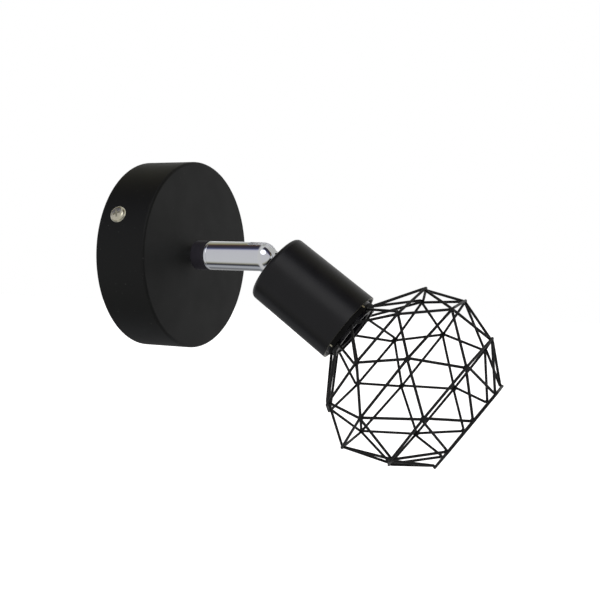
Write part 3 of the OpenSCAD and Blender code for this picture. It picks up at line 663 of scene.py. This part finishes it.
class CageLayout:
    """Where the rings and zigzags of the cage run, from the panel's sizes."""

    # Bends of the rings before and after the weld presses them flatter, and of the zigzags
    RING_BEND = 2.2 * MM
    PRESSED_BEND = 4.6 * MM
    ZIGZAG_BEND = 1.4 * MM
    # Distance between two touching wires' middles, for one wire's width
    TOUCHING = 1.02
    # Where the spokes stand on the pressed collar
    FOOT = (16.95 * MM, 61.15 * MM)
    # From the cup outwards: each ring, the zigzag that ends on it, and how steeply the bends
    # lie below the ring; the next zigzag starts as steeply above it
    LEVELS = (
        ("neck", "spokes", radians(30)), ("widest", "upper_zigzag", radians(30)),
        ("lower", "middle_zigzag", radians(30)), ("mouth", "lower_zigzag", radians(62)),
    )

    def __init__(self, sizes):
        self.sizes = sizes
        self.step = 2 * pi / sizes.corners
        self.rings, self.zigzags = {}, {}
        seat, start = sizes.wire * self.TOUCHING, self.FOOT
        for level, (ring, zigzag, angle) in enumerate(self.LEVELS):
            radius, height = getattr(sizes, ring + "_radius"), getattr(sizes, ring + "_height")
            reach, rise = self.bend_middle(radius) - seat * cos(angle), seat * sin(angle)
            self.rings[ring + "_ring"] = (radius, height, 1 - level % 2)
            self.zigzags[zigzag] = (start, (reach, height - rise), level % 2)
            start = (reach, height + rise)

    def bend_middle(self, radius):
        """How far out a ring's rounded corner really lies."""
        return radius - self.RING_BEND * (1 / cos(self.step / 2) - 1)

    def ring_corners(self, name):
        radius, height, half = self.rings[name]
        phase = self.sizes.turn + half * self.step / 2
        return [polar(radius, phase + i * self.step, height) for i in range(self.sizes.corners)]

    def touches(self, name):
        """Touch points of a zigzag, by turns on its first and second level."""
        (radius_a, height_a), (radius_b, height_b), half = self.zigzags[name]
        phase = self.sizes.turn + half * self.step / 2
        points = []
        for i in range(self.sizes.corners):
            points.append(polar(radius_a, phase + i * self.step, height_a))
            points.append(polar(radius_b, phase + (i + 0.5) * self.step, height_b))
        return points


# One operator for each piece or group of like pieces


class SPOTLIGHT_OT_canopy(bpy.types.Operator):
    """Turns the drawn steel canopy"""

    bl_idname = "spotlight.canopy"
    bl_label = "Canopy"

    def execute(self, context):
        s = context.scene.spotlight_canopy
        outer, inner = s.diameter / 2, s.diameter / 2 - s.sheet
        hole, inside = s.hole_diameter / 2, s.depth - s.sheet
        bm = turned(
            [(inner, 0), (outer, 0), (outer, s.depth), (hole, s.depth), (hole, inside),
             (inner, inside)],
            {0: 0.25 * MM, 1: 0.25 * MM, 2: s.edge_radius, 3: 0.2 * MM, 4: 0.2 * MM, 5: 0.4 * MM},
            steps=192,
        )
        piece(context, "canopy_shell", bm, "mount", "canopy_paint", ["canopy_cover"])
        return {"FINISHED"}


class SPOTLIGHT_OT_canopy_screws(bpy.types.Operator):
    """Turns the two pan-head screws in the canopy's side and sinks their cross recesses"""

    bl_idname = "spotlight.canopy_screws"
    bl_label = "Canopy screws"

    HEIGHT = 2.5 * MM
    SHANK = 2 * MM
    REACH = 8 * MM
    # The head's straight side and the recess's reach, as shares of its height and radius
    SIDE = 0.8
    RECESS = 0.63
    CROSS_TURN = radians(20)
    # One wing of the cross recess, for a head of radius 1 and height 1, and how it tapers down
    WING = (1.2, 0.27, 0.15, 1.2)
    TAPER = (0.5, 0.7, 1)

    def execute(self, context):
        s = context.scene.spotlight_canopy
        both = bmesh.new()
        for side in (0, pi):
            head = self.head(context, s.screw_head / 2)
            place = (
                Matrix.Rotation(s.screw_angle + side, 4, "Z")
                @ Matrix.Translation((s.diameter / 2, 0, s.screw_height))
                @ Matrix.Rotation(pi / 2, 4, "Y")
            )
            bmesh.ops.transform(head, matrix=place, verts=head.verts)
            poured(head, both)
        piece(context, "canopy_screw_heads", both, "mount", "zinc_plate",
              ["canopy_screws"], ["nickel", "dull_recess"])
        return {"FINISHED"}

    def head(self, context, radius):
        """One screw; the faces of its recess get the second finish, a rougher nickel darkened as painted
        shade in the recess.
        """
        shank, height = self.SHANK, self.HEIGHT
        head = turned(
            [(0, -self.REACH), (shank, -self.REACH), (shank, 0), (radius, 0),
             (radius, self.SIDE * height), (0, height)],
            {1: 0.6 * MM, 3: 0.3 * MM, 4: 1.7 * MM}, closed=False, steps=64,
        )
        length, width, floor, top = self.WING
        wings = []
        for quarter in (0, pi / 2):
            wing = box_shape(radius * length, radius * width, height * floor, height * top)
            low = [v for v in wing.verts if v.co.z < height / 2]
            bmesh.ops.scale(wing, vec=self.TAPER, verts=low)
            turn = Matrix.Rotation(quarter + self.CROSS_TURN, 3, "Z")
            bmesh.ops.rotate(wing, cent=(0, 0, 0), matrix=turn, verts=wing.verts)
            wings.append(wing)
        head = cut_away(context, head, wings)
        reach, low, high = self.RECESS * radius, 0.1 * MM, height - 0.5 * MM
        second_finish(head, lambda _, centre: centre.xy.length < reach and low < centre.z < high)
        return head


class SPOTLIGHT_OT_collar(bpy.types.Operator):
    """Turns the black plastic collar between canopy and arm"""

    bl_idname = "spotlight.collar"
    bl_label = "Arm collar"

    def execute(self, context):
        wall, arm = context.scene.spotlight_canopy, context.scene.spotlight_arm
        bore, spigot, radius = 4.97 * MM, 6.4 * MM, arm.collar_diameter / 2
        inside, seat, front = wall.depth - wall.sheet, wall.depth, wall.depth + arm.collar_length
        bm = turned(
            [(bore, inside), (spigot, inside), (spigot, seat), (radius, seat), (radius, front),
             (bore, front)],
            {1: 0.3 * MM, 3: 0.2 * MM, 4: 0.35 * MM, 5: 0.2 * MM}, steps=96,
        )
        piece(context, "collar_bush", bm, "mount", "black_plastic", ["arm_collar"],
              ["collar_plastic"])
        return {"FINISHED"}


class SPOTLIGHT_OT_arm(bpy.types.Operator):
    """Turns the chrome tube with its domed end, and cuts the fork slot and the screw's seat"""

    bl_idname = "spotlight.arm"
    bl_label = "Chrome arm"

    # Where the groove round the tube lies from its end, and how wide it is
    BAND = 1.9 * MM
    GROOVE = 0.22 * MM
    STEM_BORE = 6 * MM
    LEAD_WAY = 2.3 * MM
    # Holes across the pivot, as radius, start and end; the seat is open to the outside
    SCREW_SEAT = (3.3 * MM, 5.45 * MM)
    AXLE = (2.07 * MM, -5.8 * MM, 6 * MM)
    DOME_STEPS = 24
    # Width of the worn edges, and how sharp an edge is that gets worn or stays crisp
    WORN_EDGE = 0.12 * MM
    WORN_FROM = radians(40)
    CRISP_FROM = 28

    def execute(self, context):
        s = context.scene.spotlight_arm
        radius, pivot = s.diameter / 2, -PIVOT.y
        slot_end = pivot - s.slot_back
        band, groove = s.start + self.BAND, self.GROOVE
        bm = bmesh.new()
        profile(
            bm,
            [(0, s.start), (radius, s.start), (radius, band - groove / 2),
             (radius - 2 * groove, band), (radius, band + groove / 2), (radius, pivot)],
            {1: 0.8 * MM, 2: 0.5 * MM, 4: 0.08 * MM}, closed=False,
        )
        shoulder = max(bm.verts, key=lambda v: v.co.z)
        spun(bm, [shoulder], pi / 2, self.DOME_STEPS, (0, 0, pivot), (0, -1, 0))
        lathe(bm, steps=144)
        slot = box_shape(s.slot, 3 * radius, slot_end, pivot + 2 * radius)
        bore = rod_shape(self.STEM_BORE, s.start - MM, slot_end - 3 * MM)
        lead_way = rod_shape(self.LEAD_WAY, slot_end - 5 * MM, pivot)
        seat, axle = rod_shape(*self.SCREW_SEAT, 2 * radius), rod_shape(*self.AXLE)
        across = Matrix.Translation((0, 0, pivot)) @ Matrix.Rotation(pi / 2, 4, "Y")
        for tool in (seat, axle):
            bmesh.ops.transform(tool, matrix=across, verts=tool.verts)
        bm = cut_away(context, bm, [bore, lead_way, slot, seat, axle])
        bm.normal_update()
        # The slot's flat cheeks take the second finish, the lightened chrome that paints light into the
        # slot
        cheek = s.slot / 2 + 0.1 * MM
        second_finish(bm, lambda normal, centre: abs(normal.x) > 0.99 and abs(centre.x) < cheek)
        obj = piece(context, "fork_tube", bm, "arm", "chrome", ["arm_tube"],
                    ["chrome", "milled_slot"], crease=self.CRISP_FROM, keep_flat=False)
        edge = obj.modifiers.new("worn_edges", "BEVEL")
        edge.width = self.WORN_EDGE
        edge.segments = 2
        edge.limit_method = "ANGLE"
        edge.angle_limit = self.WORN_FROM
        edge.harden_normals = True
        return {"FINISHED"}


class SPOTLIGHT_OT_cup(bpy.types.Operator):
    """Turns the satin black lamp cup"""

    bl_idname = "spotlight.cup"
    bl_label = "Lamp cup"

    def execute(self, context):
        s = context.scene.spotlight_head
        back, mouth = s.back, s.back + s.length
        wide, narrow = s.mouth_diameter / 2, s.back_diameter / 2
        hole, floor, inside = 5 * MM, 9.3 * MM, narrow - s.wall + 0.01 * MM
        bm = turned(
            [(hole, floor), (hole, back), (narrow, back), (wide, mouth), (wide - s.wall, mouth),
             (inside, floor)],
            {1: 0.2 * MM, 2: s.edge_radius, 3: 0.14 * MM, 4: 0.14 * MM, 5: 1.8 * MM}, steps=160,
        )
        bm.normal_update()
        # The mouth's cut edge takes the second finish, sheared steel darkened as painted shade
        second_finish(bm, lambda normal, centre: normal.z > 0.6 and centre.z > mouth - s.wall)
        piece(context, "cup_shell", bm, "head", "cup_paint", ["lamp_cup"],
              ["cup_paint", "dull_edge"])
        return {"FINISHED"}


class SPOTLIGHT_OT_lampholder(bpy.types.Operator):
    """Turns the lampholder's skirt, rolls its threaded shell and cuts the ribbed ring nut"""

    bl_idname = "spotlight.lampholder"
    bl_label = "Lampholder"

    def execute(self, context):
        s = context.scene.spotlight_head
        self.skirt(context, s)
        self.shell(context, s)
        self.nut(context)
        return {"FINISHED"}

    def skirt(self, context, s):
        """A cup with a lip at its back, a flange for the ring nut and a floor for the rivet."""
        radius, bore = s.skirt_diameter / 2, s.skirt_diameter / 2 - 2.8 * MM
        lip, lip_bore = 11.2 * MM, 10 * MM
        flange, rivet = 16.7 * MM, 1.5 * MM
        back, shoulder, mouth = 21.9 * MM, 23.9 * MM, 61.7 * MM
        flange_back, flange_front = 56.3 * MM, 59.3 * MM
        floor_back, floor = 28.9 * MM, 32.9 * MM
        bm = turned(
            [(lip_bore, back), (lip, back), (lip, shoulder), (radius, shoulder),
             (radius, flange_back), (flange, flange_back), (flange, flange_front),
             (radius, flange_front), (radius, mouth), (bore, mouth), (bore, floor),
             (rivet, floor), (rivet, floor_back), (lip_bore, floor_back)],
            {3: 0.4 * MM, 5: 0.3 * MM, 6: 0.3 * MM, 8: 0.5 * MM, 9: 0.6 * MM, 10: 0.6 * MM,
             11: 0.2 * MM},
            steps=96,
        )
        piece(context, "holder_skirt", bm, "head", "black_plastic", ["lampholder_body"])

    # The threaded shell: its thread, its two ends, its sheet, its plain rim, where the thread
    # gives way to the foot, and the foot's steps, each by how much it widens and goes down
    PITCH = 2.82 * MM
    THREAD_DEPTH = 0.36 * MM
    WAVE_POINTS = 8
    TURNS = 6
    TURN_STEPS = 48
    SHELL_ENDS = (37.4 * MM, 54.3 * MM)
    SHEET = 0.315 * MM
    RIM = 0.6 * MM
    FOOT_RISE = 0.4 * MM
    FOOT = ((8.4 / 7.3, 0.8 * MM), (1.0, 3.6 * MM), (9.8 / 8.4, 0.3 * MM))

    def shell(self, context, s):
        """The thread is rolled: a wave of one pitch that climbs as it spins."""
        low, high = self.SHELL_ENDS
        crest = s.shell_diameter / 2 + 0.12 * MM
        start = high - (self.TURNS + 1) * self.PITCH
        bm = bmesh.new()
        wave = []
        for k in range(self.WAVE_POINTS + 1):
            share = k / self.WAVE_POINTS
            out = self.THREAD_DEPTH * (1 - cos(2 * pi * share)) / 2
            wave.append(bm.verts.new((crest + out, 0, start + self.PITCH * share)))
        for a, b in zip(wave, wave[1:]):
            bm.edges.new((a, b))
        spun(bm, bm.verts[:] + bm.edges[:], 2 * pi * self.TURNS, self.TURN_STEPS * self.TURNS,
             climb=self.PITCH / self.TURN_STEPS)
        bmesh.ops.remove_doubles(bm, verts=bm.verts, dist=JOIN_MERGE)
        for height, outer in ((high - self.RIM, True), (low + self.FOOT_RISE, False)):
            bmesh.ops.bisect_plane(
                bm, geom=bm.verts[:] + bm.edges[:] + bm.faces[:], plane_co=(0, 0, height),
                plane_no=(0, 0, 1), clear_outer=outer, clear_inner=not outer,
            )
        ends = [e for e in bm.edges if e.is_boundary]
        rim = [e for e in ends if all(v.co.z > high - MM for v in e.verts)]
        foot = [e for e in ends if all(v.co.z < low + MM for v in e.verts)]
        verts, _ = extruded(bm, rim)
        bmesh.ops.translate(bm, vec=(0, 0, self.RIM), verts=verts)
        for outward, down in self.FOOT:
            verts, foot = extruded(bm, foot)
            bmesh.ops.scale(bm, vec=(outward, outward, 1), verts=verts)
            bmesh.ops.translate(bm, vec=(0, 0, -down), verts=verts)
        obj = piece(context, "threaded_shell", bm, "head", "brass", ["lampholder_shell"],
                    crease=50, keep_flat=False)
        thick = obj.modifiers.new("sheet", "SOLIDIFY")
        thick.thickness = self.SHEET
        thick.offset = 1.0
        thick.use_even_offset = True

    # The ring nut: its ribs, the steps round it, how many steps one side of a rib takes, and
    # the width and sharpness of its rounded edges
    RIBS = 10
    NUT_STEPS = 120
    RIB_SIDE = 1.5
    NUT_EDGE = 0.15 * MM
    NUT_SHARP = radians(50)

    def nut(self, context):
        """A flange with a castellated top: the gaps between the ribs are sunk into it."""
        bore, flange, core = 14.03 * MM, 16.2 * MM, 15.2 * MM
        low, step, top = 60.5 * MM, 61.5 * MM, 62.5 * MM
        bm = turned(
            [(bore, low), (flange, low), (flange, step), (flange, top), (core, top), (bore, top)],
            steps=self.NUT_STEPS,
        )
        one_rib, rib_side = 2 * pi / self.RIBS, self.RIB_SIDE * 2 * pi / self.NUT_STEPS

        def in_gap(face, radius, height):
            """Whether the face is between two ribs, outside the radius and over the height."""
            centre = face.calc_center_median()
            turn = centre.xy.angle_signed(Vector((1, 0))) % one_rib
            return rib_side < turn < one_rib - rib_side and centre.xy.length > radius and centre.z > height

        def drop_walls():
            walls = [f for f in bm.faces if in_gap(f, flange - 0.1 * MM, step)]
            bmesh.ops.delete(bm, geom=walls, context="FACES")

        drop_walls()
        tops = [f for f in bm.faces if in_gap(f, core, top - 0.01 * MM)]
        geom = bmesh.ops.extrude_face_region(bm, geom=tops)["geom"]
        bmesh.ops.delete(bm, geom=tops, context="FACES")
        sunk = of_kind(bmesh.types.BMVert, geom)
        bmesh.ops.translate(bm, vec=(0, 0, step - top), verts=sunk)
        bmesh.ops.remove_doubles(bm, verts=bm.verts, dist=0.001 * MM)
        drop_walls()
        bmesh.ops.recalc_face_normals(bm, faces=bm.faces)
        crisp = [
            e for e in bm.edges if len(e.link_faces) == 2 and e.calc_face_angle(0) > self.NUT_SHARP
        ]
        bmesh.ops.bevel(
            bm, geom=crisp, offset=self.NUT_EDGE, offset_type="OFFSET", segments=2, profile=0.5,
            affect="EDGES", material=-1, clamp_overlap=True,
        )
        piece(context, "ribbed_nut", bm, "head", "black_plastic", ["ring_nut"])


class SPOTLIGHT_OT_cage_collar(bpy.types.Operator):
    """Presses the plate that the cage is welded to, with its two arc walls and sheared ends"""

    bl_idname = "spotlight.cage_collar"
    bl_label = "Cage collar"

    # Degrees round the plate: where the first arc wall starts, and how much of its end is bare
    FIRST_WALL = 103
    BARE = 3

    def execute(self, context):
        bore, plate, wall, rim = 14.1 * MM, 16.95 * MM, 17.7 * MM, 18.45 * MM
        low, back, front, high = 57.1 * MM, 59.3 * MM, 60.5 * MM, 60.9 * MM
        bare_top = 59.9 * MM
        plain = [(bore, back), (plate, back), (plate, front), (bore, front)]
        lobed = [
            (bore, back), (plate, back), (wall, back), (wall, low), (rim, low), (rim, bare_top),
            (rim, high), (wall, high), (wall, front), (plate, front), (bore, front),
        ]
        bm = bmesh.new()
        for quarter in range(4):
            part = bmesh.new()
            profile(part, lobed if quarter % 2 == 0 else plain, {}, closed=True)
            start = Matrix.Rotation(radians(self.FIRST_WALL + 90 * quarter), 3, "Z")
            bmesh.ops.rotate(part, cent=(0, 0, 0), matrix=start, verts=part.verts)
            lathe(part, steps=32, angle=pi / 2, merge=False)
            poured(part, bm)
        bmesh.ops.remove_doubles(bm, verts=bm.verts, dist=JOIN_MERGE)
        doubled = [f for f in bm.faces if all(len(e.link_faces) > 2 for e in f.edges)]
        bmesh.ops.delete(bm, geom=doubled, context="FACES_ONLY")
        bmesh.ops.holes_fill(bm, edges=[e for e in bm.edges if e.is_boundary], sides=0)

        def bare(_, centre):
            along = (degrees(atan2(centre.y, centre.x)) - self.FIRST_WALL) % 90
            at_end = min(along, 90 - along) < self.BARE
            return at_end and centre.xy.length > wall and centre.z < bare_top

        second_finish(bm, bare)
        # The plate takes the near-black primer, partly painted shade for the groove at the cup's mouth;
        # its sheared ends take bare steel
        piece(context, "pressed_collar", bm, "head", "cage_paint", ["cage_collar"],
              ["collar_paint", "sheared_steel"])
        return {"FINISHED"}


class SPOTLIGHT_OT_cage(bpy.types.Operator):
    """Bends the cage's rings and zigzag wires"""

    bl_idname = "spotlight.cage"
    bl_label = "Cage wires"

    BEND_STEPS = 7

    def execute(self, context):
        layout = CageLayout(context.scene.spotlight_cage)
        ring_bend, zigzag_bend = layout.PRESSED_BEND, layout.ZIGZAG_BEND
        wires = {name: (layout.ring_corners(name), ring_bend) for name in layout.rings}
        for name in layout.zigzags:
            wires[name] = (pushed_out(layout.touches(name), zigzag_bend), zigzag_bend)
        radius = layout.sizes.wire / 2 + layout.sizes.coat
        for name, (corners, bend) in wires.items():
            bm = bmesh.new()
            bent_wire(bm, corners, radius, bend, self.BEND_STEPS)
            piece(context, "wire_" + name, bm, "head", "cage_paint", ["cage_" + name],
                  keep_flat=False)
        return {"FINISHED"}


class SPOTLIGHT_OT_welds(bpy.types.Operator):
    """Sets a small weld bead wherever a zigzag's bend rests on a ring"""

    bl_idname = "spotlight.welds"
    bl_label = "Weld beads"

    # Radius of a bead for one wire's width, and how much longer it is along the ring
    BEAD = 0.53
    STRETCH = Matrix.Diagonal((1.3, 1.0, 1.0, 1.0))

    def execute(self, context):
        layout = CageLayout(context.scene.spotlight_cage)
        touches = [layout.touches(name) for name in layout.zigzags] + [[]]
        up = Vector((0, 0, 1))
        bm = bmesh.new()
        for (radius, height, _), ends, starts in zip(layout.rings.values(), touches, touches[1:]):
            for touch in ends[1::2] + starts[::2]:
                way = touch.xy.to_3d().normalized()
                on_ring = way * layout.bend_middle(radius) + up * height
                middle = Matrix.Translation((touch + on_ring) / 2)
                bmesh.ops.create_icosphere(
                    bm, subdivisions=2, radius=layout.sizes.wire * self.BEAD,
                    matrix=middle @ facing(up.cross(way), way, up) @ self.STRETCH,
                )
        piece(context, "weld_beads", bm, "head", "cage_paint", keep_flat=False)
        return {"FINISHED"}


class SPOTLIGHT_OT_inner_parts(bpy.types.Operator):
    """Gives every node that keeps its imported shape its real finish"""

    bl_idname = "spotlight.inner_parts"
    bl_label = "Inner parts"

    def execute(self, context):
        for node in frame["nodes"].values():
            if node.hide_render:
                continue
            for place, finish in enumerate(node.data.materials):
                slot = finish.name.split(".")[0]
                node.material_slots[place].material = surface_of(context, slot)
        return {"FINISHED"}


class SPOTLIGHT_OT_stage(bpy.types.Operator):
    """Sets the camera, the pale floor, the room and the soft key light"""

    bl_idname = "spotlight.stage"
    bl_label = "Stage"

    def execute(self, context):
        self.camera(context)
        self.floor(context)
        self.mirrors()
        self.surroundings(context)
        self.key_light(context)
        return {"FINISHED"}

    # The photograph's view, and how far the camera stands to the right and down of it
    AZIMUTH = radians(-61.84)
    ELEVATION = radians(4.81)
    DISTANCE = 608 * MM
    RIGHT = 81 * MM
    DOWN = 25.4 * MM
    LENS = 66
    SENSOR = 36
    CLIP = (0.01, 20)

    def camera(self, context):
        a, e = self.AZIMUTH, self.ELEVATION
        right = Vector((cos(a), sin(a), 0))
        back = Vector((sin(a) * cos(e), -cos(a) * cos(e), sin(e)))
        up = back.cross(right)
        lens = bpy.data.cameras.new("camera")
        lens.lens = self.LENS
        lens.sensor_width = self.SENSOR
        lens.clip_start, lens.clip_end = self.CLIP
        cam = in_scene(context, "camera", lens)
        spot = back * self.DISTANCE + right * self.RIGHT - up * self.DOWN
        cam.matrix_world = Matrix.Translation(spot) @ facing(right, up, back)
        context.scene.camera = cam

    PAPER_SIZE = 4
    PAPER_HEIGHT = -0.45

    def floor(self, context):
        """Plain white paper under the lamp. It is bright enough to show as white,
        so it stays out of the light and the mirrors, which the room alone makes."""
        bm = bmesh.new()
        bmesh.ops.create_grid(bm, x_segments=1, y_segments=1, size=self.PAPER_SIZE)
        bmesh.ops.translate(bm, vec=(0, 0, self.PAPER_HEIGHT), verts=bm.verts)
        paper = in_scene(context, "floor", as_mesh(bm, "floor"))
        paper.data.materials.append(surface_of(context, "floor"))
        paper.visible_diffuse = paper.visible_glossy = False

    # Pieces of the head that show in the cup's mouth, by the start of their names
    AT_MOUTH = (
        "pressed_collar", "ribbed_nut", "wire_", "weld_beads", "knuckle_tongue",
        "holder_skirt", "threaded_shell", "centre_contact",
    )

    def mirrors(self):
        """The photograph's chrome shows nothing of the canopy and the cup beside it, so
        mirror rays pass them by. The pieces at the cup's mouth stay in the mirrors."""
        for obj in bpy.data.objects:
            if obj.type != "MESH":
                continue
            body = body_of(obj)
            if body == ["mount"] or (body == ["head"] and not obj.name.startswith(self.AT_MOUTH)):
                obj.visible_glossy = False

    # Brightness of the room round the arm's axis, by angle from the camera's side
    # (-X) over the top; dark flags overhead and below draw the chrome's two lines
    ROOM = (
        (-180, "#ffffff"), (-132, "#ececee"), (-118, "#b6b8bc"), (-88, "#b6b8bc"), (-78, "#3f4150"),
        (-66, "#5d5b50"), (-56, "#c2c0b4"), (-46, "#dcdcde"), (30, "#dad9dd"), (50, "#d8d7dd"),
        (60, "#8486a8"), (67, "#44465e"), (84, "#3c3a42"), (100, "#4c3a3c"), (108, "#8a7a5c"),
        (124, "#b4b49c"), (142, "#b8b8b4"), (162, "#ffffff"), (180, "#ffffff"),
    )
    # The gap over the knuckle: its tone, and where along Y each of its edges starts and ends
    GAP_TONE = "#dedddc"
    GAP_EDGES = ((0.38, 0.12), (-0.24, -0.08))
    # A side of the room that is a little dimmer, and a dark corner low behind the lamp:
    # the way to each, where the shade starts and is full, and the light left there
    SHADES = (
        ((0.877, -0.474, 0.0), (0.1, 0.9), 0.95),
        ((0.62, 0.58, -0.53), (0.86, 0.97), 0.35),
    )

    def surroundings(self, context):
        """A light grey room with two dark flags that leave a bright gap over the knuckle;
        the camera sees only white behind the lamp."""
        world = bpy.data.worlds.new("studio")
        world.use_nodes = True
        tree = world.node_tree
        tree.nodes.clear()
        way = add(tree, "ShaderNodeTexCoord").outputs["Generated"]
        axes = add(tree, "ShaderNodeSeparateXYZ", {"Vector": way}).outputs
        flipped = calculated(tree, "MULTIPLY", axes["X"], -1.0)
        turn = calculated(tree, "ARCTAN2", axes["Z"], flipped)
        ramp = add(tree, "ShaderNodeValToRGB", {"Fac": ranged(tree, turn, -pi, pi)})
        stops = ramp.color_ramp.elements
        while len(stops) < len(self.ROOM):
            stops.new(0.5)
        for stop, (angle, tone) in zip(stops, self.ROOM):
            stop.position = (angle + 180) / 360
            stop.color = linear(tone)
        gap = calculated(tree, "MULTIPLY", *(
            ranged(tree, axes["Y"], *edge, curve="SMOOTHSTEP") for edge in self.GAP_EDGES
        ))
        tone = mixed(tree, gap, ramp.outputs["Color"], linear(self.GAP_TONE))
        level = calculated(tree, "MULTIPLY", *(self.shade(tree, way, *place) for place in self.SHADES))
        room = add(tree, "ShaderNodeBackground", {"Color": tone, "Strength": level})
        white = add(tree, "ShaderNodeBackground", {"Color": linear("#ffffff"), "Strength": 1.0})
        seen = add(tree, "ShaderNodeLightPath").outputs["Is Camera Ray"]
        both = add(tree, "ShaderNodeMixShader", {
            0: seen, 1: room.outputs["Background"], 2: white.outputs["Background"],
        })
        add(tree, "ShaderNodeOutputWorld", {"Surface": both.outputs["Shader"]})
        context.scene.world = world
        context.scene.view_settings.view_transform = "Standard"

    def shade(self, tree, way, place, span, left):
        """How much light is left in each direction round a dimmer place."""
        towards = add(tree, "ShaderNodeVectorMath", {0: way, 1: place}, operation="DOT_PRODUCT")
        return ranged(tree, towards.outputs["Value"], *span, 1.0, left, curve="SMOOTHSTEP")

    KEY_WAY = Vector((-0.66, -0.39, 0.64)).normalized()
    KEY_REACH = 1.0
    KEY_WIDTH = 0.75
    KEY_WATTS = 2.0

    def key_light(self, context):
        """One round soft box above and beside the camera."""
        lamp = bpy.data.lights.new("key", "AREA")
        lamp.shape = "DISK"
        lamp.size = self.KEY_WIDTH
        lamp.energy = self.KEY_WATTS
        spot = PIVOT + self.KEY_WAY * self.KEY_REACH
        aim = (PIVOT - spot).to_track_quat("-Z", "Y").to_matrix().to_4x4()
        in_scene(context, "key", lamp).matrix_world = Matrix.Translation(spot) @ aim


BUILD_ORDER = (
    SPOTLIGHT_OT_canopy, SPOTLIGHT_OT_canopy_screws, SPOTLIGHT_OT_collar, SPOTLIGHT_OT_arm,
    SPOTLIGHT_OT_cup, SPOTLIGHT_OT_lampholder, SPOTLIGHT_OT_cage_collar, SPOTLIGHT_OT_cage,
    SPOTLIGHT_OT_welds, SPOTLIGHT_OT_inner_parts, SPOTLIGHT_OT_stage,
)


class SPOTLIGHT_PT_panel(bpy.types.Panel):
    """Sizes, colours and build steps of the spotlight"""

    bl_idname = "SPOTLIGHT_PT_panel"
    bl_label = "Mesh wall spotlight"
    bl_space_type = "VIEW_3D"
    bl_region_type = "UI"
    bl_category = "Spotlight"

    def draw(self, context):
        for group in GROUPS:
            box = self.layout.box()
            settings = getattr(context.scene, group)
            for name in settings.__annotations__:
                box.prop(settings, name)
        for step in BUILD_ORDER:
            self.layout.operator(step.bl_idname)


GROUPS = {
    "spotlight_canopy": CanopySizes,
    "spotlight_arm": ArmSizes,
    "spotlight_head": HeadSizes,
    "spotlight_cage": CageSizes,
    "spotlight_finishes": Finishes,
}
CLASSES = (*GROUPS.values(), *BUILD_ORDER, SPOTLIGHT_PT_panel)


def register():
    for cls in CLASSES:
        bpy.utils.register_class(cls)
    for name, group in GROUPS.items():
        setattr(bpy.types.Scene, name, PointerProperty(type=group))


def unregister():
    for name in GROUPS:
        delattr(bpy.types.Scene, name)
    for cls in reversed(CLASSES):
        bpy.utils.unregister_class(cls)


def main():
    register()
    for step in BUILD_ORDER:
        getattr(bpy.ops.spotlight, step.bl_idname.split(".")[1])()


if __name__ == "__main__":
    main()
